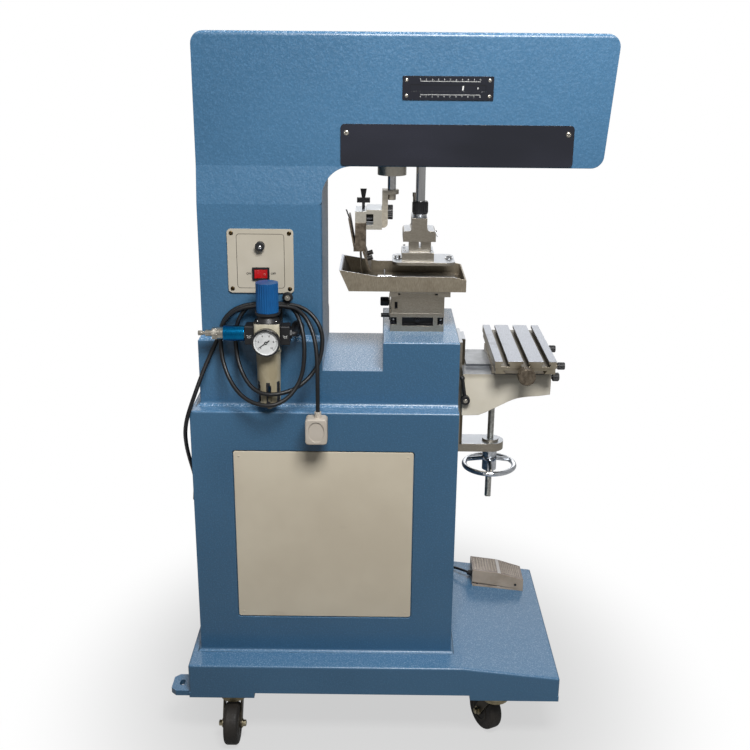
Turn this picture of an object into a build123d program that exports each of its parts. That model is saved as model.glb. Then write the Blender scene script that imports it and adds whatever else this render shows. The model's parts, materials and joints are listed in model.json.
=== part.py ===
from build123d import *
import os
from math import atan2, cos, degrees, pi, radians, sin, tan

os.makedirs("parts", exist_ok=True)

# Floor-standing pad printing machine. Millimetres, +Z up, floor at zero, operator's table at +X,
# the controls face -Y. Heights add up from the floor, and only the cords' points are given as they lie.

# Shared clearances and small values
cut_over = 6
run_gap = 0.05
face_gap = 0.3
small_round = 1

# Castors
wheel_r = 37.5
wheel_w = 26
wheel_trail = 28
castor_height = 95
axle_r = 4
castor_left = -256
castor_right = 216
castor_half = 161
mount_size = 60
mount_plate_t = 3
race_r = 24
race_h = 8
kingpin_r = 6
crown_t = 5
fork_leg_t = 3
fork_boss_r = 9
fork_gap = 1

# Plinth, a folded base on two cross bars
bar_t = 10
plinth_left = -330
plinth_right = 324
plinth_half = 195.5
plinth_h = 55
plinth_bend = 152
plinth_drop = 19
plinth_wall = 4
plinth_round = 4
left_bar_len = 115
right_bar_len = 157
lug_len = 34
lug_in = 141
lug_out = 190
lug_clip = 9
lug_slot_len = 16
lug_slot_w = 9

# Cabinet and its front panel
cabinet_left = -314
cabinet_right = 134
cabinet_half = 145
cabinet_h = 458
cabinet_wall = 4
cabinet_round = 4
foot_cove = 6
door_left = -246
door_right = 62
door_low = 69
door_h = cabinet_h - 2 * door_low
door_t = 3.5
door_gap = 2
door_lip = 10
door_round = 6
frame_t = 8

# Base block with the notch under the printing plate
block_left = -300
block_half = 114
block_h = 113
block_cove = 8
block_round = 3
notch_left = -94
notch_right = 6.5
notch_depth = 50
block_wall = 12

# Column and arm
column_half = 102
arm_half = 92
shoulder_h = 8
shoulder_side = 6
throat_h = 284
band_h = 60
arm_h = 203
arm_right = 365.5
arm_end_lean = 15
arm_corner = 20
arm_round = 7
arch_r = 48
column_round = 7
casting_wall = 8
rod_slot_left = -12
rod_slot_right = 224
rod_slot_half = 32

# Heights that follow
plinth_bottom = castor_height + bar_t
plinth_top = plinth_bottom + plinth_h
cabinet_top = plinth_top + cabinet_h
block_top = cabinet_top + block_h
notch_floor = block_top - notch_depth
arm_bottom = block_top + throat_h
arm_top = arm_bottom + arm_h
band_low = arm_bottom - band_h
column_left = block_left + shoulder_side
door_bottom = plinth_top + door_low
slope_deg = degrees(atan2(plinth_drop, plinth_right - plinth_bend))


def save(piece, name):
    piece.part.label = name
    export_step(piece.part, f"parts/{name}.step")


def front(y):
    """A plane facing the viewer, with X across and Z up."""
    return Plane.XZ.offset(-y)


def side(x):
    """A plane facing +X, with Y across and Z up."""
    return Plane.YZ.offset(x)


def level(z):
    return Plane.XY.offset(z)


# Plinth: folded tray with a sloping nose, welded to two cross bars with slotted lugs at the rear end
def plinth_outline(inset, low):
    with BuildLine(Plane.XY) as outline:
        Polyline(
            (plinth_left + inset, low),
            (plinth_right - inset, low),
            (plinth_right - inset, plinth_top - plinth_drop - inset),
            (plinth_bend, plinth_top - inset),
            (plinth_left + inset, plinth_top - inset),
            close=True,
        )
    make_face(outline.edges())


with BuildPart() as plinth:
    with BuildSketch(Plane.XZ):
        plinth_outline(0, plinth_bottom)
    extrude(amount=plinth_half, both=True)
    keep_sharp = plinth_bottom + plinth_round
    rim = [e for e in plinth.edges() if e.center().Z > keep_sharp]
    fold = [e for e in rim if abs(e.center().X - plinth_bend) < plinth_round]
    crease = [e for e in fold if abs(e.center().Y) < plinth_round]
    fillet([e for e in rim if e not in crease], plinth_round)
    with BuildSketch(Plane.XZ):
        plinth_outline(plinth_wall, plinth_bottom - cut_over)
    extrude(amount=plinth_half - plinth_wall, both=True, mode=Mode.SUBTRACT)
    with BuildSketch(level(castor_height)):
        with Locations((plinth_left + left_bar_len / 2, 0)):
            Rectangle(left_bar_len, 2 * plinth_half)
        with Locations((plinth_right - right_bar_len / 2, 0)):
            Rectangle(right_bar_len, 2 * plinth_half)
        for way in (-1, 1):
            with BuildLine():
                Polyline(
                    (plinth_left, way * lug_in),
                    (plinth_left - lug_len + lug_clip, way * lug_in),
                    (plinth_left - lug_len, way * (lug_in + lug_clip)),
                    (plinth_left - lug_len, way * (lug_out - lug_clip)),
                    (plinth_left - lug_len + lug_clip, way * lug_out),
                    (plinth_left, way * lug_out),
                    close=True,
                )
            make_face()
            with Locations((plinth_left - lug_len / 2, way * (lug_in + lug_out) / 2)):
                SlotOverall(lug_slot_len, lug_slot_w, rotation=90, mode=Mode.SUBTRACT)
    extrude(amount=bar_t)
save(plinth, "plinth")


# Cabinet: sheet box with a coved foot, a door frame inside its front wall and a floor
def coved_outline(half_left, half_right, low, top, cove_left, cove_right):
    """Upright outline whose foot sweeps outwards on each side by its cove."""
    with BuildLine(Plane.XY) as outline:
        Line((-half_left - cove_left, low), (half_right + cove_right, low))
        if cove_right:
            RadiusArc((half_right + cove_right, low), (half_right, low + cove_right), cove_right)
        Line((half_right, low + cove_right), (half_right, top))
        Line((half_right, top), (-half_left, top))
        Line((-half_left, top), (-half_left, low + cove_left))
        if cove_left:
            RadiusArc((-half_left, low + cove_left), (-half_left - cove_left, low), cove_left)
    make_face(outline.edges())


door_mid_x = (door_left + door_right) / 2
door_mid_z = door_bottom + door_h / 2
cabinet_mid_x = (cabinet_left + cabinet_right) / 2
cabinet_len = cabinet_right - cabinet_left
with BuildPart() as cabinet:
    with BuildSketch(Plane.XZ):
        coved_outline(-cabinet_left, cabinet_right, plinth_top, cabinet_top, foot_cove, foot_cove)
    extrude(amount=cabinet_half + foot_cove, both=True)
    with BuildSketch(Plane.YZ):
        coved_outline(cabinet_half, cabinet_half, plinth_top, cabinet_top, foot_cove, foot_cove)
    extrude(amount=cabinet_len, both=True, mode=Mode.INTERSECT)
    top_rim = cabinet.faces().sort_by(Axis.Z)[-1].edges()
    fillet([e for e in top_rim if abs(e.center().X - cabinet_right) > cabinet_round], cabinet_round)
    with BuildSketch(level(plinth_top + cabinet_wall)):
        with Locations((cabinet_mid_x, 0)):
            Rectangle(cabinet_len - 2 * cabinet_wall, 2 * (cabinet_half - cabinet_wall))
    extrude(amount=cabinet_h - 2 * cabinet_wall, mode=Mode.SUBTRACT)
    with BuildSketch(front(-cabinet_half + cabinet_wall)):
        with Locations((door_mid_x, door_mid_z)):
            Rectangle(door_right - door_left + 2 * door_lip, door_h + 2 * door_lip)
    extrude(amount=-frame_t)
    with BuildSketch(front(-cabinet_half)):
        with Locations((door_mid_x, door_mid_z)):
            RectangleRounded(door_right - door_left, door_h, door_round)
    extrude(amount=-cabinet_wall, mode=Mode.SUBTRACT)
    with BuildSketch(front(-cabinet_half)):
        with Locations((door_mid_x, door_mid_z)):
            Rectangle(door_right - door_left - 2 * door_lip, door_h - 2 * door_lip)
    extrude(amount=-cabinet_wall - frame_t - cut_over, mode=Mode.SUBTRACT)
save(cabinet, "cabinet")

door_seat = -cabinet_half + cabinet_wall
with BuildPart() as door:
    with BuildSketch(front(door_seat)):
        with Locations((door_mid_x, door_mid_z)):
            RectangleRounded(
                door_right - door_left - 2 * door_gap, door_h - 2 * door_gap, door_round - door_gap
            )
    extrude(amount=door_t)
    fillet(door.faces().sort_by(Axis.Y)[0].edges(), small_round)
save(door, "cabinet_door")

# Valve block on the cabinet's rear wall: a manifold with four solenoid valves in a row
manifold_len = 150
manifold_h = 40
manifold_t = 30
manifold_low = 250
valve_w = 26
valve_h = 60
valve_t = 34
valve_count = 4
valve_pitch = 34
with BuildPart() as valve_manifold:
    with BuildSketch(front(cabinet_half - cabinet_wall)):
        with Locations((door_mid_x, plinth_top + manifold_low)):
            Rectangle(manifold_len, manifold_h)
    extrude(amount=manifold_t)
    with BuildSketch(front(cabinet_half - cabinet_wall - manifold_t)):
        with Locations((door_mid_x, plinth_top + manifold_low)):
            with GridLocations(valve_pitch, 0, valve_count, 1):
                Rectangle(valve_w, valve_h)
    extrude(amount=valve_t)
save(valve_manifold, "valve_manifold")

# Base block: hollow casting with a coved foot and the notch
block_depth = notch_floor - cabinet_top - block_wall
with BuildPart() as base_block:
    with BuildSketch(Plane.XZ):
        coved_outline(-block_left, cabinet_right, cabinet_top, block_top, block_cove, 0)
    extrude(amount=block_half + block_cove, both=True)
    with BuildSketch(Plane.YZ):
        coved_outline(block_half, block_half, cabinet_top, block_top, block_cove, block_cove)
    extrude(amount=cabinet_len, both=True, mode=Mode.INTERSECT)
    with BuildSketch(Plane.XZ):
        with Locations(((notch_left + notch_right) / 2, block_top)):
            Rectangle(notch_right - notch_left, 2 * notch_depth)
    extrude(amount=block_half + cut_over, both=True, mode=Mode.SUBTRACT)
    right_top = base_block.faces().filter_by(Axis.Z).group_by(Axis.Z)[-1].sort_by(Axis.X)[-1]
    fillet(right_top.edges(), block_round)
    with BuildSketch(level(cabinet_top)):
        with Locations(((block_left + cabinet_right) / 2, 0)):
            Rectangle(cabinet_right - block_left - 2 * block_wall, 2 * (block_half - block_wall))
    extrude(amount=block_depth, mode=Mode.SUBTRACT)
save(base_block, "base_block")

# Column and arm: one hollow casting, C-shaped from the front and narrower at the top
with BuildPart() as head:
    with BuildSketch(Plane.XZ) as head_face:
        with BuildLine():
            Polyline(
                (block_left, block_top),
                (column_left, block_top + shoulder_h),
                (column_left, arm_top),
                (arm_right, arm_top),
                (arm_right - arm_end_lean, arm_bottom),
                (notch_left, arm_bottom),
                (notch_left, block_top),
                close=True,
            )
        make_face()
        high = head_face.vertices().group_by(Axis.Y)[-1]
        fillet(high, arm_corner)
        low_ends = head_face.vertices().filter_by(lambda v: abs(v.Y - arm_bottom) < small_round)
        fillet(low_ends.sort_by(Axis.X)[-1], arm_corner)
        inner = head_face.vertices().filter_by(
            lambda v: abs(v.Y - arm_bottom) < small_round and abs(v.X - notch_left) < small_round
        )
        fillet(inner, arch_r)
    extrude(amount=block_half, both=True)
    with BuildSketch(Plane.YZ) as head_end:
        with BuildLine():
            Polyline(
                (-block_half, block_top),
                (-column_half, block_top + shoulder_h),
                (-column_half, band_low),
                (-arm_half, arm_bottom),
                (-arm_half, arm_top),
                (arm_half, arm_top),
                (arm_half, arm_bottom),
                (column_half, band_low),
                (column_half, block_top + shoulder_h),
                (block_half, block_top),
                close=True,
            )
        make_face()
        fillet(head_end.vertices().group_by(Axis.Y)[-1], arm_round)
    extrude(amount=arm_right + cut_over, both=True, mode=Mode.INTERSECT)
    upright = head.edges().filter_by(
        lambda e: abs(e.center().X - notch_left) < small_round
        and abs(e.center().Y) > arm_half
        and abs((e @ 1 - e @ 0).Z) > band_h
    )
    fillet(upright, column_round)
    with BuildSketch(Plane.XZ):
        with BuildLine():
            Polyline(
                (column_left + casting_wall, block_top + casting_wall),
                (column_left + casting_wall, arm_top - casting_wall),
                (arm_right - arm_end_lean - casting_wall, arm_top - casting_wall),
                (arm_right - arm_end_lean - casting_wall, arm_bottom + casting_wall),
                (notch_left - casting_wall, arm_bottom + casting_wall),
                (notch_left - casting_wall, block_top + casting_wall),
                close=True,
            )
        make_face()
    extrude(amount=arm_half - casting_wall, both=True, mode=Mode.SUBTRACT)
    with BuildSketch(level(arm_bottom - cut_over)):
        with Locations(((rod_slot_left + rod_slot_right) / 2, 0)):
            SlotOverall(rod_slot_right - rod_slot_left, 2 * rod_slot_half)
    extrude(amount=casting_wall + 2 * cut_over, mode=Mode.SUBTRACT)
save(head, "head_casting")


# Castors: mount plate with swivel race and kingpin, a fork that swings on it, and its wheel
def castor_planes(x, y, heading):
    """Level plane and upright plane of a castor whose wheel trails along the heading in degrees."""
    way = Vector(cos(radians(heading)), sin(radians(heading)), 0)
    flat = Plane(origin=(x, y, 0), x_dir=way, z_dir=(0, 0, 1))
    upright = Plane(origin=(x, y, 0), x_dir=way, z_dir=way.cross(Vector(0, 0, 1)))
    return flat, upright


race_low = castor_height - mount_plate_t - race_h
crown_top = race_low - face_gap
crown_low = crown_top - crown_t
fork_half = wheel_w / 2 + fork_gap
castor_spots = {
    "front_left": (castor_left, -castor_half, -90),
    "rear_left": (castor_left, castor_half, 90),
    "front_right": (castor_right, -castor_half, 118),
    "rear_right": (castor_right, castor_half, -118),
}

with BuildPart() as castor_mounts:
    with Locations([(x, y, castor_height) for x, y, _ in castor_spots.values()]):
        Box(
            mount_size, mount_size, mount_plate_t, align=(Align.CENTER, Align.CENTER, Align.MAX)
        )
    with Locations([(x, y, castor_height - mount_plate_t) for x, y, _ in castor_spots.values()]):
        Cylinder(race_r, race_h, align=(Align.CENTER, Align.CENTER, Align.MAX))
    with Locations([(x, y, race_low) for x, y, _ in castor_spots.values()]):
        Cylinder(kingpin_r, crown_t + 2 * face_gap, align=(Align.CENTER, Align.CENTER, Align.MAX))
save(castor_mounts, "castor_mounts")

for corner, (castor_x, castor_y, castor_way) in castor_spots.items():
    flat, upright = castor_planes(castor_x, castor_y, castor_way)
    with BuildPart() as fork:
        with BuildSketch(upright):
            with BuildLine():
                Polyline(
                    (-fork_boss_r, crown_top),
                    (fork_boss_r + kingpin_r, crown_top),
                    (wheel_trail + fork_boss_r, wheel_r),
                    (wheel_trail, wheel_r - fork_boss_r),
                    (wheel_trail - fork_boss_r, wheel_r),
                    (-fork_boss_r, crown_low),
                    close=True,
                )
            make_face()
            with Locations((wheel_trail, wheel_r)):
                Circle(fork_boss_r)
        extrude(amount=fork_half + fork_leg_t, both=True)
        with BuildSketch(upright):
            with Locations((wheel_trail, crown_low / 2)):
                Rectangle(4 * wheel_r, crown_low)
        extrude(amount=fork_half, both=True, mode=Mode.SUBTRACT)
        with BuildSketch(flat.offset(crown_low)):
            Circle(race_r)
        extrude(amount=crown_t)
        with BuildSketch(flat.offset(crown_low)):
            Circle(kingpin_r + run_gap)
        extrude(amount=crown_t + cut_over, mode=Mode.SUBTRACT)
        with BuildSketch(upright):
            with Locations((wheel_trail, wheel_r)):
                Circle(axle_r)
        extrude(amount=fork_half + fork_leg_t + axle_r, both=True)
    save(fork, f"castor_fork_{corner}")
    tyre_round = wheel_w / 4
    with BuildPart() as wheel:
        with BuildSketch(upright):
            with Locations((wheel_trail, wheel_r)):
                Circle(wheel_r)
        extrude(amount=wheel_w / 2, both=True)
        fillet(wheel.edges(), tyre_round)
        with BuildSketch(upright):
            with Locations((wheel_trail, wheel_r)):
                Circle(axle_r + run_gap)
        extrude(amount=wheel_w, both=True, mode=Mode.SUBTRACT)
    save(wheel, f"castor_wheel_{corner}")

# Black name plate and stroke scale on the arm, both bare
banner_left = -64
banner_right = 302
banner_low = 2
banner_h = 64
banner_t = 3
banner_round = 6
scale_left = 32
scale_right = 173
scale_low = 103
scale_h = 36
scale_t = 2
scale_round = 2
scale_slot_h = 10
scale_slot_rim = 12
banner_x = (banner_left + banner_right) / 2
banner_z = arm_bottom + banner_low + banner_h / 2
scale_x = (scale_left + scale_right) / 2
scale_z = arm_bottom + scale_low + scale_h / 2
with BuildPart() as head_plates:
    with BuildSketch(front(-arm_half)):
        with Locations((banner_x, banner_z)):
            RectangleRounded(banner_right - banner_left, banner_h, banner_round)
    extrude(amount=banner_t)
    with BuildSketch(front(-arm_half)):
        with Locations((scale_x, scale_z)):
            RectangleRounded(scale_right - scale_left, scale_h, scale_round)
            Rectangle(scale_right - scale_left - 2 * scale_slot_rim, scale_slot_h, mode=Mode.SUBTRACT)
    extrude(amount=scale_t)
save(head_plates, "head_plates")

# Control panel on the column, with a fuse cap and a framed rocker switch
panel_left = -247
panel_right = -140
panel_up = 185
panel_high = block_top + panel_up
panel_h = 105
panel_t = 3
panel_round = 6
fuse_r = 7.5
fuse_len = 9
fuse_below = 27
switch_below = 73
switch_w = 28
switch_h = 21
bezel_t = 2.5
bezel_rim = 3
panel_x = (panel_left + panel_right) / 2
panel_z = panel_high - panel_h / 2
switch_z = panel_high - switch_below
fuse_z = panel_high - fuse_below
panel_face = -column_half - panel_t
with BuildPart() as control_panel:
    with BuildSketch(front(-column_half)):
        with Locations((panel_x, panel_z)):
            RectangleRounded(panel_right - panel_left, panel_h, panel_round)
        with Locations((panel_x, switch_z)):
            Rectangle(switch_w - 2 * bezel_rim, switch_h - 2 * bezel_rim, mode=Mode.SUBTRACT)
    extrude(amount=panel_t)
save(control_panel, "control_panel")

with BuildPart() as panel_fittings:
    with BuildSketch(front(panel_face)):
        with Locations((panel_x, switch_z)):
            RectangleRounded(switch_w, switch_h, small_round)
            Rectangle(switch_w - 2 * bezel_rim, switch_h - 2 * bezel_rim, mode=Mode.SUBTRACT)
    extrude(amount=bezel_t)
    with BuildSketch(front(panel_face)):
        with Locations((panel_x, fuse_z)):
            Circle(fuse_r)
    extrude(amount=fuse_len)
    fillet(panel_fittings.faces().sort_by(Axis.Y)[0].edges(), small_round)
save(panel_fittings, "panel_fittings")

# Rocker: a bar with a shallow V front, resting tipped to one side
rocker_tilt = 6
rocker_gap = 0.6
rocker_deep = 4.6
rocker_proud = 2
rocker_half = switch_w / 2 - bezel_rim - rocker_gap
rocker_pivot = panel_face - bezel_t + rocker_deep / 2
rocker_plane = Plane(
    origin=(panel_x, rocker_pivot, switch_z - switch_h / 2 + bezel_rim + rocker_gap),
    x_dir=(cos(radians(rocker_tilt)), sin(radians(rocker_tilt)), 0),
    z_dir=(0, 0, 1),
)
with BuildPart() as rocker:
    with BuildSketch(rocker_plane):
        with BuildLine():
            Polyline(
                (-rocker_half, 0),
                (-rocker_half, -rocker_deep / 2 - rocker_proud),
                (0, -rocker_deep / 2),
                (rocker_half, -rocker_deep / 2 - rocker_proud),
                (rocker_half, 0),
                close=True,
            )
        make_face()
    extrude(amount=switch_h - 2 * bezel_rim - 2 * rocker_gap)
save(rocker, "rocker_switch")

# Air preparation unit: bracket, body, bonnet, knob, bowl guard, gauge, slide valve and outlet
air_x = -180
air_y = -145
body_up = 1
body_low = block_top + body_up
body_h = 43
body_half = 22
body_round = 9
port_len = 14
port_half = 14
port_h = 31
bonnet_r = 20
bonnet_h = 11
neck_r = 14
neck_h = 4
stem_r = 8
stem_h = 10
knob_r = 18
knob_h = 48
knob_round = 2
flute_r = 1.4
flute_count = 28
body_top = body_low + body_h
port_z = body_low + body_h / 2
neck_low = body_top + bonnet_h
knob_low = neck_low + neck_h + face_gap
with BuildPart() as regulator_body:
    with BuildSketch(level(body_low)):
        with Locations((air_x, air_y)):
            RectangleRounded(2 * body_half, 2 * body_half, body_round)
    extrude(amount=body_h)
    fillet(regulator_body.faces().sort_by(Axis.Z)[-1].edges(), small_round)

bowl_r = 20
bowl_foot_r = 18
bowl_h = 101
bowl_wall = 3
bowl_collar_h = 8
bowl_slot_w = 5
bowl_slot_h = 30
bowl_slot_up = 10
bowl_slots = 6
bowl_slot_turn = 8
bowl_low = body_low - bowl_h
drain_r = 4
drain_h = 6
with BuildPart() as bowl_guard:
    with BuildSketch(Plane.XZ.offset(-air_y)):
        with BuildLine():
            Polyline(
                (air_x, bowl_low),
                (air_x + bowl_foot_r - bowl_wall, bowl_low),
                (air_x + bowl_foot_r, bowl_low + bowl_wall),
                (air_x + bowl_r, body_low - bowl_collar_h),
                (air_x + bowl_r + small_round, body_low - bowl_collar_h),
                (air_x + bowl_r + small_round, body_low),
                (air_x + bowl_r - bowl_wall, body_low),
                (air_x + bowl_foot_r - bowl_wall, bowl_low + 2 * bowl_wall),
                (air_x, bowl_low + 2 * bowl_wall),
                close=True,
            )
        make_face()
    revolve(axis=Axis((air_x, air_y, 0), (0, 0, 1)))
    with BuildSketch(level(bowl_low - drain_h)):
        with Locations((air_x, air_y)):
            Circle(drain_r)
    extrude(amount=drain_h)
    slot_spot = (air_x, air_y, bowl_low + bowl_slot_up + bowl_slot_h / 2)
    for turn in range(bowl_slots):
        swing = radians(bowl_slot_turn + turn * 360 / bowl_slots)
        with BuildSketch(Plane(origin=slot_spot, x_dir=(0, 0, 1), z_dir=(sin(swing), -cos(swing), 0))):
            SlotOverall(bowl_slot_h, bowl_slot_w)
        extrude(amount=bowl_r + cut_over, mode=Mode.SUBTRACT)
save(bowl_guard, "bowl_guard")
save(regulator_body, "regulator_body")

bracket_t = 4
bracket_half = 20
bracket_drop = 30
with BuildPart() as regulator_trim:
    with BuildSketch(Plane.XZ.offset(-air_y)):
        with BuildLine():
            Polyline(
                (air_x, body_top),
                (air_x + bonnet_r, body_top),
                (air_x + neck_r, neck_low),
                (air_x + neck_r, neck_low + neck_h),
                (air_x + stem_r, neck_low + neck_h),
                (air_x + stem_r, neck_low + neck_h + stem_h),
                (air_x, neck_low + neck_h + stem_h),
                close=True,
            )
        make_face()
    revolve(axis=Axis((air_x, air_y, 0), (0, 0, 1)))
    with BuildSketch(Plane.YZ.offset(air_x)):
        with Locations((air_y, port_z)):
            RectangleRounded(2 * port_half, port_h, 2 * small_round)
    extrude(amount=body_half + port_len, both=True)
    with BuildSketch(level(body_low)):
        with Locations((air_x, air_y)):
            RectangleRounded(2 * body_half, 2 * body_half, body_round)
    extrude(amount=body_h, mode=Mode.SUBTRACT)
    with BuildSketch(level(neck_low)):
        with Locations((air_x, (air_y - column_half) / 2)):
            Rectangle(2 * bracket_half, -air_y - column_half)
        with Locations((air_x, air_y)):
            Circle(bracket_half)
    extrude(amount=bracket_t)
    with BuildSketch(front(-column_half)):
        with Locations((air_x, neck_low - bracket_drop / 2 + bracket_t)):
            Rectangle(2 * bracket_half, bracket_drop)
    extrude(amount=bracket_t)
save(regulator_trim, "regulator_trim")

with BuildPart() as regulator_knob:
    with BuildSketch(level(knob_low)):
        with Locations((air_x, air_y)):
            Circle(knob_r)
            with PolarLocations(knob_r + flute_r / 2, flute_count):
                Circle(flute_r, mode=Mode.SUBTRACT)
    extrude(amount=knob_h)
    with BuildSketch(level(knob_low)):
        with Locations((air_x, air_y)):
            Circle(stem_r + run_gap)
    extrude(amount=stem_h, mode=Mode.SUBTRACT)
save(regulator_knob, "regulator_knob")

gauge_r = 22.5
gauge_t = 10
gauge_dial = 2.5
gauge_rim = 3
gauge_stem_r = 6
gauge_stem = 4
gauge_drop = 6
gauge_z = port_z - gauge_drop
needle_t = 0.8
needle_r = 2.5
needle_len = 15
needle_tail = 7
needle_deg = 215
gauge_back = air_y - body_half - gauge_stem
gauge_face = gauge_back - gauge_t
dial_face = gauge_face + gauge_dial
with BuildPart() as pressure_gauge:
    with BuildSketch(front(gauge_back)):
        with Locations((air_x, gauge_z)):
            Circle(gauge_r)
    extrude(amount=gauge_t)
    fillet(pressure_gauge.edges(), small_round)
    with BuildSketch(front(gauge_face)):
        with Locations((air_x, gauge_z)):
            Circle(gauge_r - gauge_rim)
    extrude(amount=-gauge_dial, mode=Mode.SUBTRACT)
    with BuildSketch(front(air_y - body_half)):
        with Locations((air_x, gauge_z)):
            Circle(gauge_stem_r)
    extrude(amount=gauge_stem)
    with BuildSketch(front(dial_face)):
        with Locations((air_x, gauge_z)):
            Circle(small_round)
    extrude(amount=gauge_dial / 2)
save(pressure_gauge, "pressure_gauge")

needle_plane = Plane(
    origin=(air_x, dial_face - face_gap, gauge_z),
    x_dir=(cos(radians(needle_deg)), 0, sin(radians(needle_deg))),
    z_dir=(0, -1, 0),
)
with BuildPart() as gauge_needle:
    with BuildSketch(needle_plane):
        with BuildLine():
            Polyline(
                (-needle_tail, -needle_t),
                (0, -needle_t),
                (needle_len, -needle_t / 4),
                (needle_len, needle_t / 4),
                (0, needle_t),
                (-needle_tail, needle_t),
                close=True,
            )
        make_face()
        Circle(needle_r)
        Circle(small_round + run_gap, mode=Mode.SUBTRACT)
    extrude(amount=needle_t)
save(gauge_needle, "gauge_needle")

# Slide valve on the inlet side: barrel with hex and plug nipple, and the sleeve that slides on it
sleeve_r = 12.5
sleeve_len = 35
sleeve_gap = 1
barrel_r = 10
barrel_len = 46
collar_hex_r = 10.5
collar_hex_len = 8
nipple_r = 5.5
nipple_len = 11
plug_r = 4
plug_len = 12
inlet_x = air_x - body_half - port_len
barrel_left = inlet_x - barrel_len
hex_left = barrel_left - collar_hex_len
nipple_left = hex_left - nipple_len
with BuildPart() as slide_valve:
    with BuildSketch(front(air_y)):
        with BuildLine():
            Polyline(
                (inlet_x, port_z),
                (inlet_x, port_z + barrel_r),
                (barrel_left, port_z + barrel_r),
                (barrel_left, port_z + nipple_r),
                (nipple_left, port_z + nipple_r),
                (nipple_left, port_z + plug_r - small_round),
                (nipple_left - plug_len / 3, port_z + plug_r - small_round),
                (nipple_left - plug_len / 2, port_z + plug_r),
                (nipple_left - plug_len, port_z + plug_r),
                (nipple_left - plug_len, port_z),
                close=True,
            )
        make_face()
    revolve(axis=Axis((0, air_y, port_z), (1, 0, 0)))
    with BuildSketch(side(hex_left)):
        with Locations((air_y, port_z)):
            RegularPolygon(collar_hex_r, 6)
    extrude(amount=collar_hex_len)
save(slide_valve, "slide_valve")

with BuildPart() as valve_sleeve:
    with BuildSketch(side(inlet_x - sleeve_gap)):
        with Locations((air_y, port_z)):
            Circle(sleeve_r)
    extrude(amount=-sleeve_len)
    fillet(valve_sleeve.edges(), small_round)
    with BuildSketch(side(inlet_x)):
        with Locations((air_y, port_z)):
            Circle(barrel_r + run_gap)
    extrude(amount=-sleeve_len - cut_over, mode=Mode.SUBTRACT)
save(valve_sleeve, "valve_sleeve")

# Outlet: hex, short pipe turned back to a gland on the column
outlet_x = air_x + body_half + port_len
outlet_hex_r = 8.5
outlet_hex_len = 3.5
pipe_r = 4.5
pipe_bend = 5.5
pipe_bend_share = 0.95
gland_r = 11
gland_t = 7
pipe_x = outlet_x + outlet_hex_len + pipe_bend
with BuildPart() as outlet_elbow:
    with BuildLine():
        elbow_path = FilletPolyline(
            (outlet_x + outlet_hex_len, air_y, port_z),
            (pipe_x, air_y, port_z),
            (pipe_x, -column_half - gland_t, port_z),
            radius=pipe_bend_share * pipe_bend,
        )
    with BuildSketch(side(outlet_x + outlet_hex_len)):
        with Locations((air_y, port_z)):
            Circle(pipe_r)
    sweep()
    with BuildSketch(side(outlet_x)):
        with Locations((air_y, port_z)):
            RegularPolygon(outlet_hex_r, 6)
    extrude(amount=outlet_hex_len)
    with BuildSketch(front(-column_half)):
        with Locations((pipe_x, port_z)):
            Circle(gland_r)
    extrude(amount=gland_t)
save(outlet_elbow, "outlet_elbow")

# Fixings on the front faces: button screws of the plates and panel, and the bolt above the cord
banner_screw_r = 4.5
scale_screw_r = 2.8
panel_screw_r = 3.4
screw_h = 1.6
banner_screw_in = 9
scale_screw_in = 5
panel_screw_in = 7
bolt_r = 6
door_screw_r = 3
door_screw_in = 9
pointer_x = 138
pointer_r = 4.6
pointer_t = 1.6
bolt_shank_r = 3
bolt_out = 12
bolt_x = -150
bolt_up = 75
bolt_z = block_top + bolt_up


def corners(mid_x, mid_z, wide, high, inset):
    across = wide / 2 - inset
    up = high / 2 - inset
    return [(mid_x + a * across, mid_z + b * up) for a in (-1, 1) for b in (-1, 1)]


banner_reach = (banner_right - banner_left) / 2 - banner_screw_in
banner_screw_z = banner_z + banner_h / 2 - banner_screw_in - banner_screw_r
banner_spots = [(banner_x + way * banner_reach, banner_screw_z) for way in (-1, 1)]
scale_spots = corners(scale_x, scale_z, scale_right - scale_left, scale_h, scale_screw_in)
panel_spots = corners(panel_x, panel_z, panel_right - panel_left, panel_h, panel_screw_in)
door_spots = corners(door_mid_x, door_mid_z, door_right - door_left, door_h, door_screw_in)
screw_sets = (
    (-arm_half - banner_t, banner_spots, banner_screw_r),
    (-arm_half - scale_t, scale_spots, scale_screw_r),
    (panel_face, panel_spots, panel_screw_r),
    (door_seat - door_t, door_spots, door_screw_r),
    (-column_half - bolt_out, [(bolt_x, bolt_z)], bolt_r),
)
with BuildPart() as front_fixings:
    for face_y, spots, head_r in screw_sets:
        with BuildSketch(front(face_y)):
            with Locations(spots):
                Circle(head_r)
        extrude(amount=screw_h)
    with BuildSketch(front(-column_half)):
        with Locations((bolt_x, bolt_z)):
            Circle(bolt_shank_r)
    extrude(amount=bolt_out)
    with BuildSketch(front(-arm_half)):
        with Locations((pointer_x, scale_z)):
            RegularPolygon(pointer_r, 3, rotation=90)
    extrude(amount=pointer_t)
save(front_fixings, "front_fixings")

# Printing plate stage: fixed base, cross slide with its knob, upper slide, tray and printing plate
stage_left = 18.5
stage_right = 110
stage_half = 46
stage_base_h = 32
cross_h = 32
window_left = 20
window_wide = 53
window_up = 10
window_h = 15
window_deep = 14
pocket_w = 11
pocket_h = 13
pocket_up = 12
pocket_deep = 12
pocket_bolt_r = 4
tongue_h = 6
tongue_half = 22
tongue_top_half = 26
slide_gap = 0.3
stage_base_top = block_top + stage_base_h
cross_top = stage_base_top + cross_h
stage_x = (stage_left + stage_right) / 2
knob_plate_t = 2
knob_plate_low = 14
knob_plate_h = 36
clamp_screw_r = 3.7
clamp_screw_len = 14
clamp_screw_up = 12.5
stage_knob_r = 7.3
stage_knob_len = 15
stage_knob_up = 9
stage_shank_r = 3
cross_gap = 1.5


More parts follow.
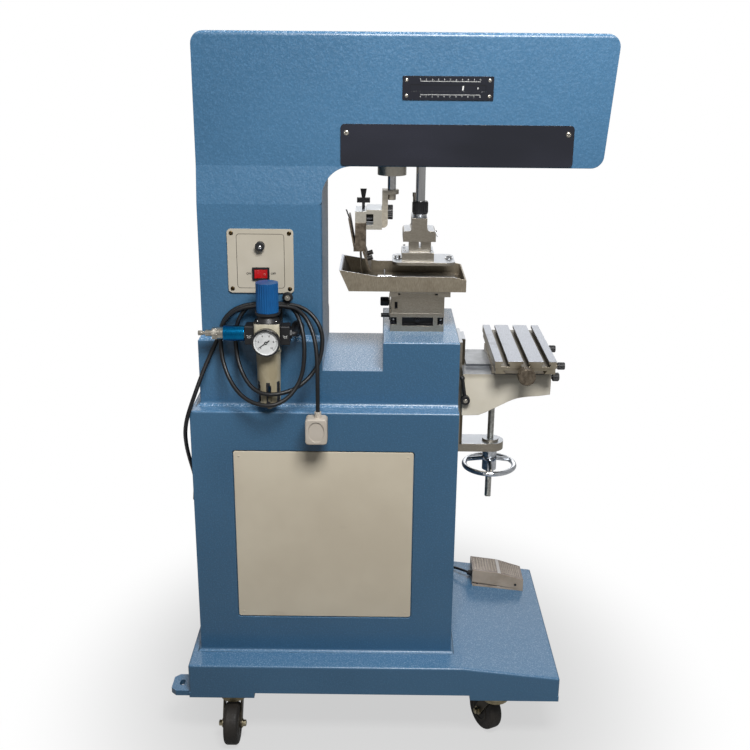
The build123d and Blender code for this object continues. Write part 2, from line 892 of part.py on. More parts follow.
def tongue(low, half_low, half_high):
    """Dovetail tongue outline, wider at its top, on a plane square to its slide."""
    with BuildLine(Plane.XY) as outline:
        Polyline(
            (-half_low, low),
            (half_low, low),
            (half_high, low + tongue_h),
            (-half_high, low + tongue_h),
            close=True,
        )
    make_face(outline.edges())


with BuildPart() as stage_base:
    with BuildSketch(level(block_top)):
        with Locations((stage_x, 0)):
            Rectangle(stage_right - stage_left, 2 * stage_half)
    extrude(amount=stage_base_h)
    with BuildSketch(front(-stage_half)):
        with Locations((stage_left + window_left + window_wide / 2, block_top + window_up + window_h / 2)):
            Rectangle(window_wide, window_h)
    extrude(amount=-window_deep, mode=Mode.SUBTRACT)
    with BuildSketch(front(-stage_half)):
        for edge_x in (stage_left + pocket_w / 2, stage_right - pocket_w / 2):
            with Locations((edge_x, block_top + pocket_up + pocket_h / 2)):
                Rectangle(pocket_w, pocket_h)
    extrude(amount=-pocket_deep, mode=Mode.SUBTRACT)
    with BuildSketch(level(block_top + pocket_up)):
        for edge_x in (stage_left + pocket_w / 2, stage_right - pocket_w / 2):
            with Locations((edge_x, -stage_half + pocket_deep / 2)):
                Circle(pocket_bolt_r)
    extrude(amount=pocket_bolt_r)
    with BuildSketch(front(-stage_half + window_deep)):
        with Locations((stage_left + window_left + window_wide / 2, block_top + window_up + window_h / 2)):
            Circle(pocket_bolt_r)
    extrude(amount=window_deep / 2)
    with BuildSketch(side(stage_left)):
        tongue(stage_base_top, tongue_half, tongue_top_half)
    extrude(amount=stage_right - stage_left)
    with BuildSketch(side(stage_left)):
        with Locations((0, block_top + knob_plate_low + knob_plate_h / 2)):
            Rectangle(stage_half, knob_plate_h)
    extrude(amount=-knob_plate_t)
    with BuildSketch(side(stage_left)):
        with Locations((0, stage_base_top + stage_knob_up)):
            Circle(stage_shank_r + run_gap)
    extrude(amount=-knob_plate_t - cut_over, mode=Mode.SUBTRACT)
    with BuildSketch(side(stage_left - knob_plate_t)):
        with Locations((0, block_top + clamp_screw_up + clamp_screw_r)):
            Circle(clamp_screw_r)
    extrude(amount=-clamp_screw_len)
save(stage_base, "stage_base")

with BuildPart() as stage_knob:
    with BuildSketch(side(stage_left - knob_plate_t - face_gap)):
        with Locations((0, stage_base_top + stage_knob_up)):
            Circle(stage_knob_r)
    extrude(amount=-stage_knob_len)
    fillet(stage_knob.edges(), small_round)
    with BuildSketch(side(stage_left - knob_plate_t - face_gap)):
        with Locations((0, stage_base_top + stage_knob_up)):
            Circle(stage_shank_r)
    extrude(amount=knob_plate_t + face_gap)
save(stage_knob, "stage_knob")

cross_window_in = 7
cross_window_w = 5
cross_window_up = 8
cross_window_h = 12
upper_half = 60
upper_left = 17
upper_right = 119
upper_h = 10
upper_tongue_half = 28.5
upper_tongue_top = 32.5
tray_lock_r = 5.5
tray_lock_len = 12
with BuildPart() as cross_slide:
    with BuildSketch(level(stage_base_top + slide_gap)):
        with Locations((stage_x + cross_gap / 2, 0)):
            Rectangle(stage_right - stage_left - cross_gap, 2 * stage_half)
    extrude(amount=cross_h - slide_gap)
    with BuildSketch(side(stage_left - cut_over)):
        tongue(stage_base_top, tongue_half + 2 * slide_gap, tongue_top_half + 2 * slide_gap)
        with Locations((0, stage_base_top + tongue_h)):
            Rectangle(2 * tongue_top_half + 4 * slide_gap, 2 * slide_gap)
    extrude(amount=stage_right - stage_left + 2 * cut_over, mode=Mode.SUBTRACT)
    with BuildSketch(front(-stage_half)):
        cross_window_x = stage_left + cross_window_in + cross_window_w / 2
        with Locations((cross_window_x, stage_base_top + cross_window_up + cross_window_h / 2)):
            Rectangle(cross_window_w, cross_window_h)
    extrude(amount=-pocket_deep, mode=Mode.SUBTRACT)
    with BuildSketch(front(-stage_half).shift_origin((stage_x, -stage_half, 0))):
        tongue(cross_top, upper_tongue_half, upper_tongue_top)
    extrude(amount=-2 * stage_half)
save(cross_slide, "cross_slide")

upper_x = (upper_left + upper_right) / 2
upper_top = cross_top + upper_h
with BuildPart() as upper_slide:
    with BuildSketch(level(cross_top + slide_gap)):
        with Locations((upper_x, 0)):
            Rectangle(upper_right - upper_left, 2 * upper_half)
    extrude(amount=upper_h - slide_gap)
    with BuildSketch(Plane.XZ):
        with Locations((stage_x, cross_top + (tongue_h + slide_gap) / 2)):
            Rectangle(2 * upper_tongue_top + 6 * slide_gap, tongue_h + slide_gap)
    extrude(amount=upper_half + cut_over, both=True, mode=Mode.SUBTRACT)
    with BuildSketch(side(upper_left)):
        with Locations((0, upper_top - upper_h / 2)):
            Circle(tray_lock_r - small_round)
    extrude(amount=-tray_lock_len)
save(upper_slide, "upper_slide")

# Ink tray: folded steel trough with raised, slanting rear end and clipped front corner
tray_left = -52
tray_right = 144.5
tray_half = 64
tray_rim = 25.5
tray_tip_out = 16
tray_tip_up = 36
tray_ramp = 48
tray_nose = 23
tray_nose_drop = 5
tray_wall = 2.5
plate_left = -30
plate_right = 132
plate_half = 50
plate_t = 5.5


def tray_outline(inset, lift):
    with BuildLine(Plane.XY) as outline:
        Polyline(
            (tray_left + inset, upper_top + inset),
            (tray_right - inset, upper_top + inset),
            (tray_right - inset, upper_top + tray_rim - tray_nose_drop + lift),
            (tray_right - tray_nose, upper_top + tray_rim + lift),
            (tray_left + tray_ramp, upper_top + tray_rim + lift),
            (tray_left - tray_tip_out + inset, upper_top + tray_tip_up + lift),
            close=True,
        )
    make_face(outline.edges())


with BuildPart() as ink_tray:
    with BuildSketch(Plane.XZ):
        tray_outline(0, 0)
    extrude(amount=tray_half, both=True)
    with BuildSketch(Plane.XZ):
        tray_outline(tray_wall, cut_over)
    extrude(amount=tray_half - tray_wall, both=True, mode=Mode.SUBTRACT)
save(ink_tray, "ink_tray")

with BuildPart() as printing_plate:
    with BuildSketch(level(upper_top + tray_wall)):
        with Locations(((plate_left + plate_right) / 2, 0)):
            Rectangle(plate_right - plate_left, 2 * plate_half)
    extrude(amount=plate_t)
save(printing_plate, "printing_plate")

# Arm drive: two guide rods between the arm's ends and the drive cylinder
guide_r = 6
guide_half = 44
drive_up = 135
drive_z = arm_bottom + drive_up
drive_r = 20
drive_wall = 3
drive_len = 226
drive_rod_r = 6
arm_in_left = column_left + casting_wall
arm_in_right = arm_right - arm_end_lean - casting_wall
with BuildPart() as arm_drive:
    with BuildSketch(side(arm_in_left)):
        with Locations((guide_half, drive_z), (-guide_half, drive_z)):
            Circle(guide_r)
    extrude(amount=arm_in_right - arm_in_left)
    with BuildSketch(side(arm_in_left)):
        with Locations((0, drive_z)):
            Circle(drive_r)
    extrude(amount=drive_len)
    with BuildSketch(side(arm_in_left + drive_wall)):
        with Locations((0, drive_z)):
            Circle(drive_r - drive_wall)
    extrude(amount=drive_len - 2 * drive_wall, mode=Mode.SUBTRACT)
    with BuildSketch(side(arm_in_left + drive_len - drive_wall - cut_over)):
        with Locations((0, drive_z)):
            Circle(drive_rod_r + run_gap)
    extrude(amount=drive_wall + 2 * cut_over, mode=Mode.SUBTRACT)
save(arm_drive, "arm_drive")

# Carriage: block on the guide rods with the doctor and pad cylinders, and the drive's piston rod
stroke = 140
doctor_x = 18.5
pad_x = 67
doctor_nose_r = 24.2
doctor_nose_out = 24
doctor_nose_low = arm_bottom - doctor_nose_out
doctor_rod_r = 7
pad_rod_r = 8
pad_cylinder_r = 23.8
carriage_left = -8
carriage_right = 93
carriage_half = 60
carriage_h = 60
pad_lift = 65
rod_spare = 10
piston_t = 10
carriage_low = drive_z - carriage_h / 2
carriage_top = drive_z + carriage_h / 2
doctor_rod_top = carriage_low - rod_spare
pad_rod_top = carriage_top - pad_lift - 2 * rod_spare
with BuildPart() as carriage:
    with BuildSketch(level(carriage_low)):
        with Locations(((carriage_left + carriage_right) / 2, 0)):
            Rectangle(carriage_right - carriage_left, 2 * carriage_half)
    extrude(amount=carriage_h)
    with BuildSketch(level(carriage_low)):
        with Locations((doctor_x, 0)):
            Circle(doctor_nose_r)
    extrude(amount=doctor_nose_low - carriage_low)
    with BuildSketch(level(carriage_low)):
        with Locations((pad_x, 0)):
            Circle(pad_cylinder_r)
    extrude(amount=arm_bottom + casting_wall + cut_over - carriage_low)
    with BuildSketch(side(carriage_left)):
        with Locations((guide_half, drive_z), (-guide_half, drive_z)):
            Circle(guide_r + run_gap)
    extrude(amount=carriage_right - carriage_left, mode=Mode.SUBTRACT)
    with BuildSketch(level(doctor_nose_low - cut_over)):
        with Locations((doctor_x, 0)):
            Circle(doctor_rod_r + run_gap)
    extrude(amount=doctor_rod_top + face_gap - doctor_nose_low + cut_over, mode=Mode.SUBTRACT)
    with BuildSketch(level(arm_bottom)):
        with Locations((pad_x, 0)):
            Circle(pad_rod_r + run_gap)
    extrude(amount=pad_rod_top + pad_lift + face_gap - arm_bottom, mode=Mode.SUBTRACT)
    piston_left = arm_in_left + drive_len - drive_wall - stroke - rod_spare - piston_t
    with BuildSketch(side(piston_left)):
        with Locations((0, drive_z)):
            Circle(drive_r - drive_wall - run_gap)
    extrude(amount=piston_t)
    with BuildSketch(side(piston_left)):
        with Locations((0, drive_z)):
            Circle(drive_rod_r)
    extrude(amount=carriage_left - piston_left)
save(carriage, "carriage")

# Doctor unit: ram with its bent bracket, blade holder, blades, and adjusting knobs
ram_reach = 25
tab_top = doctor_nose_low - ram_reach
tab_t = 7
tab_end_r = 12
ram_nut_r = 7
ram_nut_h = 10
bracket_left = 2.5
bracket_thick = 9.8
bracket_h = 63
bracket_foot_r = 8
holder_left = -24
holder_low = tab_top - bracket_h
holder_h = 33
holder_half = 30
mouth_w = 12
mouth_low = 8
mouth_h = 18
grip_left = -42.5
grip_up = 11
grip_low = holder_low + grip_up
grip_h = 19
with BuildPart() as doctor_ram:
    with BuildSketch(level(tab_top)):
        with Locations((doctor_x, 0)):
            Circle(doctor_rod_r)
    extrude(amount=doctor_rod_top - tab_top)
    with BuildSketch(level(tab_top - tab_t)):
        with Locations(((bracket_left + doctor_x) / 2, 0)):
            Rectangle(doctor_x - bracket_left, 2 * tab_end_r)
        with Locations((doctor_x, 0)):
            Circle(tab_end_r)
    extrude(amount=tab_t)
    with BuildSketch(level(tab_top - tab_t - ram_nut_h)):
        with Locations((doctor_x, 0)):
            RegularPolygon(ram_nut_r, 6)
    extrude(amount=ram_nut_h)
    with BuildSketch(Plane.XZ) as bracket_face:
        with Locations((bracket_left + bracket_thick / 2, tab_top - bracket_h / 2)):
            Rectangle(bracket_thick, bracket_h)
        foot = bracket_face.vertices().group_by(Axis.Y)[0].sort_by(Axis.X)[-1]
        fillet(foot, bracket_foot_r)
        crown = bracket_face.vertices().group_by(Axis.Y)[-1].sort_by(Axis.X)[0]
        fillet(crown, bracket_foot_r / 2)
    extrude(amount=tab_end_r, both=True)
save(doctor_ram, "doctor_ram")

with BuildPart() as doctor_holder:
    with BuildSketch(Plane.XZ) as holder_face:
        with Locations(((holder_left + bracket_left) / 2, holder_low + holder_h / 2)):
            Rectangle(bracket_left - holder_left, holder_h)
        with Locations((holder_left + mouth_w / 2, holder_low + mouth_low + mouth_h / 2)):
            Rectangle(mouth_w, mouth_h, mode=Mode.SUBTRACT)
        with Locations(((grip_left + holder_left) / 2, grip_low + grip_h / 2)):
            Rectangle(holder_left - grip_left, grip_h)
    extrude(amount=holder_half, both=True)
    fillet(doctor_holder.edges().filter_by(Axis.Y).group_by(Axis.Z)[-1], small_round)
save(doctor_holder, "doctor_holder")

# Blades: a clamp leg for the doctor blade, the slanting tension plate and the ink spreader
leg_h = 48
leg_low = grip_low - leg_h
leg_step = 8
leg_right = -24.5
blade_tip_x = -31
blade_reach = 33
blade_tip_z = leg_low - blade_reach
blade_t = 1
blade_half = 40
spreader_top_x = -26
spreader_tip_x = -15
spreader_t = 3.5
tension_top_x = -54
tension_up = 7
tension_top_z = grip_low + tension_up
tension_t = 2.5
tension_half = 32
clip_h = 12


def slanted(top_x, top_z, foot_x, foot_z, thick):
    with BuildLine(Plane.XY) as outline:
        Polyline(
            (top_x, top_z),
            (top_x + thick, top_z),
            (foot_x + thick, foot_z),
            (foot_x, foot_z),
            close=True,
        )
    make_face(outline.edges())


with BuildPart() as doctor_blades:
    with BuildSketch(Plane.XZ):
        with BuildLine():
            Polyline(
                (grip_left, grip_low),
                (leg_right, grip_low),
                (leg_right, leg_low),
                (grip_left, leg_low),
                close=True,
            )
        make_face()
        slanted(tension_top_x, tension_top_z, grip_left - tension_t, leg_low + clip_h / 2, tension_t)
        with Locations((grip_left, leg_low + clip_h / 2)):
            Rectangle(2 * tension_t, clip_h)
    extrude(amount=tension_half, both=True)
    with BuildSketch(Plane.XZ):
        slanted(grip_left + leg_step, leg_low, blade_tip_x - blade_t, blade_tip_z, blade_t)
        slanted(spreader_top_x - spreader_t, leg_low, spreader_tip_x - spreader_t, blade_tip_z, spreader_t)
    extrude(amount=blade_half, both=True)
save(doctor_blades, "doctor_blades")

bracket_knob_r = 11.5
bracket_knob_t = 8.5
bracket_knob_up = 25
bracket_knob_z = holder_low + bracket_knob_up
mouth_knob_r = 8.5
stem_x = -29
thumb_bar_len = 22
thumb_bar_t = 8
thumb_up = 11
stem_thin_r = 2.5
wing_h = 15
wing_w = 11
wing_t = 4
wing_slant = 100
peg_r = 1.2
peg_len = 14
peg_lean = -20
spreader_screw_r = 4
spreader_screw_len = 9
spreader_screw_up = 19
spreader_screw_z = blade_tip_z + spreader_screw_up
spreader_screw_pitch = 22
spreader_lean = degrees(atan2(spreader_tip_x - spreader_top_x, leg_low - blade_tip_z))
grip_top = grip_low + grip_h
with BuildPart() as doctor_knobs:
    with BuildSketch(side(bracket_left + bracket_thick)):
        with Locations((0, bracket_knob_z)):
            Circle(bracket_knob_r)
    extrude(amount=bracket_knob_t)
    with BuildSketch(side(holder_left)):
        with Locations((0, holder_low + mouth_low + mouth_h / 2)):
            Circle(mouth_knob_r)
    extrude(amount=mouth_w)
    with BuildSketch(level(grip_top)):
        with Locations((stem_x, 0)):
            Circle(stem_thin_r)
    extrude(amount=thumb_up + thumb_bar_t)
    with BuildSketch(level(grip_top + thumb_up)):
        with Locations((stem_x, 0)):
            Rectangle(thumb_bar_len, thumb_bar_t)
    extrude(amount=thumb_bar_t)
    with BuildSketch(Plane.XZ):
        with Locations((stem_x, grip_top + thumb_up + thumb_bar_t)):
            Trapezoid(wing_w, wing_h, wing_slant, wing_slant, align=(Align.CENTER, Align.MIN))
    extrude(amount=wing_t / 2, both=True)
    with BuildSketch(level(tension_top_z)):
        with Locations((tension_top_x + tension_t / 2, -tension_half / 2)):
            Circle(peg_r)
    extrude(amount=peg_len, dir=(sin(radians(peg_lean)), 0, cos(radians(peg_lean))))
    spreader_x = spreader_top_x + (leg_low - spreader_screw_z) * tan(radians(spreader_lean))
    screw_way = Vector(cos(radians(spreader_lean)), 0, sin(radians(spreader_lean)))
    for way in (-1, 1):
        screw_plane = Plane(
            origin=(spreader_x, way * spreader_screw_pitch, spreader_screw_z), z_dir=screw_way
        )
        with BuildSketch(screw_plane):
            Circle(spreader_screw_r)
        extrude(amount=spreader_screw_len)
save(doctor_knobs, "doctor_knobs")

# Pad unit: ram with its collar, clamp with a turning stop pin, and the mounting plates
pad_up = 31
flange_t = 5
base_h = 15
pad_neck_h = 19
clamp_h = 39.5
ring_h = 3.5
flange_low = upper_top + tray_wall + plate_t + pad_up
base_low = flange_low + flange_t
clamp_low = base_low + base_h + pad_neck_h
clamp_top = clamp_low + clamp_h
collar_r = 12.7
collar_low = clamp_top + ring_h
collar_h = 21
ring_r = 11.5
clamp_left = 38.3
clamp_right = 93.4
clamp_shoulder = 18
clamp_half = 30
stem_left = 52.8
stem_right = 78.4
clamp_round = 5
stop_r = 3
stop_len = 29
stop_cap_r = 3.7
stop_cap_h = 7
stop_x = 58
stop_y = 22
with BuildPart() as pad_ram:
    with BuildSketch(level(clamp_top)):
        with Locations((pad_x, 0)):
            Circle(pad_rod_r)
    extrude(amount=pad_rod_top - clamp_top)
    with BuildSketch(level(clamp_top)):
        with Locations((pad_x, 0)):
            Circle(ring_r)
    extrude(amount=collar_low - clamp_top)
    with BuildSketch(level(collar_low)):
        with Locations((pad_x, 0)):
            Circle(collar_r)
    extrude(amount=collar_h)
save(pad_ram, "pad_ram")

with BuildPart() as pad_clamp:
    with BuildSketch(Plane.XZ) as clamp_face:
        with BuildLine():
            Polyline(
                (clamp_left, clamp_low),
                (clamp_right, clamp_low),
                (clamp_right, clamp_low + clamp_shoulder),
                (stem_right, clamp_low + clamp_shoulder),
                (stem_right, clamp_top),
                (stem_left, clamp_top),
                (stem_left, clamp_low + clamp_shoulder),
                (clamp_left, clamp_low + clamp_shoulder),
                close=True,
            )
        make_face()
        shoulder_line = clamp_low + clamp_shoulder
        steps = clamp_face.vertices().filter_by(lambda v: abs(v.Y - shoulder_line) < small_round)
        fillet(steps, clamp_round)
    extrude(amount=clamp_half, both=True)
    with BuildSketch(level(clamp_top)):
        with Locations((stop_x, stop_y)):
            Circle(stop_r)
    extrude(amount=stop_len)
    with BuildSketch(level(clamp_top + stop_len)):
        with Locations((stop_x, stop_y)):
            Circle(stop_cap_r)
    extrude(amount=stop_cap_h)
save(pad_clamp, "pad_clamp")

neck_left = 49
neck_right = 86
neck_half = 20
neck_slot = 4
neck_slot_h = 12
base_left = 37
base_right = 91
base_half = 30
flange_left = 21
flange_right = 127
flange_half = 38
flange_round = 14
flange_hole_r = 3.3
flange_hole_in = 9
with BuildPart() as pad_mount:
    with BuildSketch(level(base_low + base_h)):
        with Locations(((neck_left + neck_right) / 2, 0)):
            Rectangle(neck_right - neck_left, 2 * neck_half)
    extrude(amount=pad_neck_h)
    with BuildSketch(level(base_low)):
        with Locations(((base_left + base_right) / 2, 0)):
            Rectangle(base_right - base_left, 2 * base_half)
    extrude(amount=base_h)
    with BuildSketch(Plane.XZ):
        with Locations(((neck_left + neck_right) / 2, clamp_low - neck_slot_h / 2)):
            Rectangle(neck_slot, neck_slot_h)
    extrude(amount=neck_half, both=True, mode=Mode.SUBTRACT)
    with BuildSketch(level(flange_low)):
        with Locations(((flange_left + flange_right) / 2, 0)):
            RectangleRounded(flange_right - flange_left, 2 * flange_half, flange_round)
        with Locations((flange_left + flange_hole_in, 0), (flange_right - flange_hole_in, 0)):
            Circle(flange_hole_r, mode=Mode.SUBTRACT)
    extrude(amount=flange_t)
save(pad_mount, "pad_mount")

# Table lift: rail plate on the base, bracket bar with the screw bearing, and the knee that rides on it
rail_t = 10
rail_half = 45
rail_drop = 103
rail_low = cabinet_top - rail_drop
rail_h = 197
bar_end_r = 23.5
bar_end_t = 15
screw_x = 204
screw_r = 6
bearing_r = 15
bearing_h = 4
knee_gap = 0.3
knee_end = 295
knee_half = 72
knee_below = 48
knee_h = 76
knee_top = rail_low + rail_h - knee_below
knee_edge = 36
knee_low = knee_top - knee_h
rail_face = cabinet_right + rail_t
with BuildPart() as knee_rail:
    with BuildSketch(level(rail_low)):
        with Locations((cabinet_right + rail_t / 2, 0)):
            Rectangle(rail_t, 2 * rail_half)
        with BuildLine():
            Polyline(
                (rail_face, -tongue_half),
                (rail_face + tongue_h, -tongue_top_half),
                (rail_face + tongue_h, tongue_top_half),
                (rail_face, tongue_half),
                close=True,
            )
        make_face()
    extrude(amount=rail_h)
    with BuildSketch(level(rail_low)):
        with Locations(((cabinet_right + screw_x) / 2, 0)):
            Rectangle(screw_x - cabinet_right, 2 * bar_end_r)
        with Locations((screw_x, 0)):
            Circle(bar_end_r)
    extrude(amount=-bar_end_t)
    with BuildSketch(level(rail_low)):
        with Locations((screw_x, 0)):
            Circle(bearing_r)
    extrude(amount=bearing_h)
    with BuildSketch(level(rail_low + bearing_h)):
        with Locations((screw_x, 0)):
            Circle(screw_r + run_gap)
    extrude(amount=-bar_end_t - bearing_h - cut_over, mode=Mode.SUBTRACT)
save(knee_rail, "knee_rail")

way_start = 2
way_left = rail_face + tongue_h + way_start
way_half_low = 30
way_half_top = 34
screw_hang = 186
screw_low = knee_low - screw_hang
screw_deep = 32
knee_drops = ((275, 39), (252, 41), (234, 45), (217, 53), (202, 61), (187, 69), (173, 75))
knee_curve = [(x, knee_top - drop) for x, drop in knee_drops]
lever_x = 149
lever_up = 30
lever_z = knee_low + lever_up
lever_hub_r = 8
lever_hub_t = 9
lever_arm_len = 40
lever_arm_r = 3
lever_ball_r = 4.4
lever_lean = -9
lever_stud_r = 3
lever_stud_len = 16
with BuildPart() as knee:
    with BuildSketch(Plane.XZ):
        with BuildLine():
            Line((rail_face + knee_gap, knee_low), (rail_face + knee_gap, knee_top))
            Line((rail_face + knee_gap, knee_top), (knee_end, knee_top))
            Line((knee_end, knee_top), (knee_end, knee_top - knee_edge))
            Line((knee_end, knee_top - knee_edge), knee_curve[0])
            Spline(*knee_curve)
            Line(knee_curve[-1], (rail_face + knee_gap, knee_low))
        make_face()
    extrude(amount=knee_half, both=True)
    with BuildSketch(level(knee_low - cut_over)):
        with BuildLine():
            Polyline(
                (rail_face, -tongue_half - slide_gap),
                (rail_face + tongue_h + knee_gap, -tongue_top_half - 2 * slide_gap),
                (rail_face + tongue_h + knee_gap, tongue_top_half + 2 * slide_gap),
                (rail_face, tongue_half + slide_gap),
                close=True,
            )
        make_face()
    extrude(amount=knee_top - knee_low + 2 * cut_over, mode=Mode.SUBTRACT)
    with BuildSketch(level(knee_low)):
        with Locations((screw_x, 0)):
            Circle(screw_r + run_gap)
    extrude(amount=screw_deep, mode=Mode.SUBTRACT)
    with BuildSketch(side(way_left)):
        with BuildLine():
            Polyline(
                (-way_half_low, knee_top),
                (way_half_low, knee_top),
                (way_half_top, knee_top + tongue_h),
                (-way_half_top, knee_top + tongue_h),
                close=True,
            )
        make_face()
    extrude(amount=knee_end - way_left)
    with BuildSketch(front(-knee_half - cut_over)):
        with Locations((lever_x, lever_z)):
            Circle(lever_stud_r + run_gap)
    extrude(amount=-lever_stud_len - face_gap - cut_over, mode=Mode.SUBTRACT)
save(knee, "knee")

with BuildPart() as lift_screw:
    with BuildSketch(level(screw_low)):
        with Locations((screw_x, 0)):
            Circle(screw_r)
    extrude(amount=knee_low + screw_deep - screw_low)
    chamfer(lift_screw.faces().sort_by(Axis.Z)[0].edges(), small_round)
save(lift_screw, "lift_screw")

# Handwheel under the bracket bar: hub with the nut, dished spokes and a round rim
rim_r = 45.5
rim_tube_r = 4.5
rim_drop = 34
rim_z = rail_low - bar_end_t - rim_drop
hub_r = 13
hub_under = 8
hub_low = rim_z - hub_under
spoke_r = 4
spoke_up = 14
spoke_turns = (30, 150, 270)
with BuildPart() as handwheel:
    with BuildSketch(level(hub_low)):
        with Locations((screw_x, 0)):
            Circle(hub_r)
    extrude(amount=rail_low - bar_end_t - knee_gap - hub_low)
    with BuildSketch(Plane.XZ):
        with Locations((screw_x + rim_r, rim_z)):
            Circle(rim_tube_r)
    revolve(axis=Axis((screw_x, 0, 0), (0, 0, 1)))
    for turn in spoke_turns:
        spoke_way = Vector(cos(radians(turn)), sin(radians(turn)), 0)
        hub_point = Vector(screw_x, 0, rim_z + spoke_up)
        rim_point = Vector(screw_x, 0, rim_z) + spoke_way * rim_r
        spoke_dir = (rim_point - hub_point).normalized()
        with BuildSketch(Plane(origin=hub_point, z_dir=spoke_dir)):
            Circle(spoke_r)
        extrude(amount=(rim_point - hub_point).length)
    with BuildSketch(level(hub_low - cut_over)):
        with Locations((screw_x, 0)):
            Circle(screw_r + run_gap)
    extrude(amount=rail_low - hub_low, mode=Mode.SUBTRACT)
save(handwheel, "handwheel")

# Clamp lever on the knee's front face, with its stud in the knee
with BuildPart() as clamp_lever:
    with BuildSketch(front(-knee_half - knee_gap)):
        with Locations((lever_x, lever_z)):
            Circle(lever_hub_r)
    extrude(amount=lever_hub_t)
    fillet(clamp_lever.faces().sort_by(Axis.Y)[0].edges(), small_round)
    arm_y = -knee_half - knee_gap - lever_hub_t / 2
    arm_way = Vector(sin(radians(lever_lean)), 0, cos(radians(lever_lean)))
    with BuildSketch(Plane(origin=(lever_x, arm_y, lever_z), z_dir=arm_way)):
        Circle(lever_arm_r)
    extrude(amount=lever_arm_len)
    with Locations(Vector(lever_x, arm_y, lever_z) + arm_way * lever_arm_len):
        Sphere(lever_ball_r)
    with BuildSketch(front(-knee_half + lever_stud_len)):
        with Locations((lever_x, lever_z)):
            Circle(lever_stud_r)
    extrude(amount=lever_stud_len + knee_gap)
save(clamp_lever, "clamp_lever")

# Saddle on the knee's ways, its feed knob and lock knobs
saddle_left = 193
saddle_h = 13
saddle_half = 70
slide_h = 10.5
slide_half_low = 32
slide_half_top = 36
saddle_knob_drop = 14.5
saddle_knob_z = knee_top - saddle_knob_drop
saddle_knob_y = -40
saddle_knob_r = 7
saddle_knob_len = 12
saddle_shank_r = 3.5
saddle_shank = 7
lock_r = 6
lock_len = 12.4
lock_shank_r = 2.5
lock_shank = 15
lock_up = 5.5
lock_z = knee_top + lock_up
lock_near = -40
lock_far = 62
saddle_top = knee_top + saddle_h
with BuildPart() as saddle:
    with BuildSketch(level(knee_top + knee_gap)):
        with Locations(((saddle_left + knee_end) / 2, 0)):
            Rectangle(knee_end - saddle_left, 2 * saddle_half)
    extrude(amount=saddle_h - knee_gap)
    with BuildSketch(side(saddle_left - cut_over)):
        with BuildLine():
            Polyline(
                (-way_half_low - slide_gap, knee_top),
                (way_half_low + slide_gap, knee_top),
                (way_half_top + 2 * slide_gap, knee_top + tongue_h + knee_gap),
                (-way_half_top - 2 * slide_gap, knee_top + tongue_h + knee_gap),
                close=True,
            )
        make_face()
    extrude(amount=knee_end - saddle_left + 2 * cut_over, mode=Mode.SUBTRACT)
    with BuildSketch(front(-saddle_half)):
        with BuildLine():
            mid_x = (saddle_left + knee_end) / 2
            Polyline(
                (mid_x - slide_half_low, saddle_top),
                (mid_x + slide_half_low, saddle_top),
                (mid_x + slide_half_top, saddle_top + tongue_h),
                (mid_x - slide_half_top, saddle_top + tongue_h),
                close=True,
            )
        make_face()
    extrude(amount=-2 * saddle_half)
    for lock_y in (lock_near, lock_far):
        with BuildSketch(side(knee_end)):
            with Locations((lock_y, lock_z)):
                Circle(lock_shank_r)
        extrude(amount=lock_shank)
        with BuildSketch(side(knee_end + lock_shank)):
            with Locations((lock_y, lock_z)):
                Circle(lock_r)
        extrude(amount=lock_len)
save(saddle, "saddle")

with BuildPart() as saddle_knob:
    with BuildSketch(side(knee_end + saddle_shank)):
        with Locations((saddle_knob_y, saddle_knob_z)):
            Circle(saddle_knob_r)
    extrude(amount=saddle_knob_len)
    chamfer(saddle_knob.edges(), small_round)
    with BuildSketch(side(knee_end + knee_gap)):
        with Locations((saddle_knob_y, saddle_knob_z)):
            Circle(saddle_shank_r)
    extrude(amount=saddle_shank)
save(saddle_knob, "saddle_knob")

# Work table: slotted plate on a lower block, with the dovetail groove for the saddle's slide
table_half = 112
table_h = 23
table_plate_t = 12.5
table_step = 1.5
table_slots = 3
table_slot_pitch = 34
slot_w = 9
slot_neck = 5
slot_foot_w = 15
slot_foot_h = 4.5
table_knob_r = 14
table_knob_len = 17
table_knob_shank = 6
table_knob_up = 2
feed_plate_r = 10
feed_plate_t = 5
table_right = 296
table_top = saddle_top + table_h
table_x = (saddle_left + table_right) / 2
with BuildPart() as work_table:
    with BuildSketch(level(table_top - table_plate_t)):
        with Locations((table_x, 0)):
            Rectangle(table_right - saddle_left, 2 * table_half)
    extrude(amount=table_plate_t)
    with BuildSketch(level(saddle_top + knee_gap)):
        with Locations((table_x, 0)):
            Rectangle(table_right - saddle_left - 2 * table_step, 2 * (table_half - table_step))
    extrude(amount=table_h - table_plate_t - knee_gap)
    with BuildSketch(Plane.XZ):
        with BuildLine():
            Polyline(
                (mid_x - slide_half_low - slide_gap, saddle_top),
                (mid_x + slide_half_low + slide_gap, saddle_top),
                (mid_x + slide_half_top + 2 * slide_gap, saddle_top + tongue_h + knee_gap),
                (mid_x - slide_half_top - 2 * slide_gap, saddle_top + tongue_h + knee_gap),
                close=True,
            )
        make_face()
    extrude(amount=table_half + cut_over, both=True, mode=Mode.SUBTRACT)
    with BuildSketch(Plane.XZ):
        with Locations((table_x, table_top - slot_neck / 2)):
            with GridLocations(table_slot_pitch, 0, table_slots, 1):
                Rectangle(slot_w, slot_neck)
        with Locations((table_x, table_top - slot_neck - slot_foot_h / 2)):
            with GridLocations(table_slot_pitch, 0, table_slots, 1):
                Rectangle(slot_foot_w, slot_foot_h)
    extrude(amount=table_half + cut_over, both=True, mode=Mode.SUBTRACT)
    with BuildSketch(front(-table_half + table_step)):
        with Locations((table_x, saddle_top + table_knob_up)):
            Circle(feed_plate_r)
            Circle(lock_shank_r + run_gap, mode=Mode.SUBTRACT)
    extrude(amount=feed_plate_t)
save(work_table, "work_table")

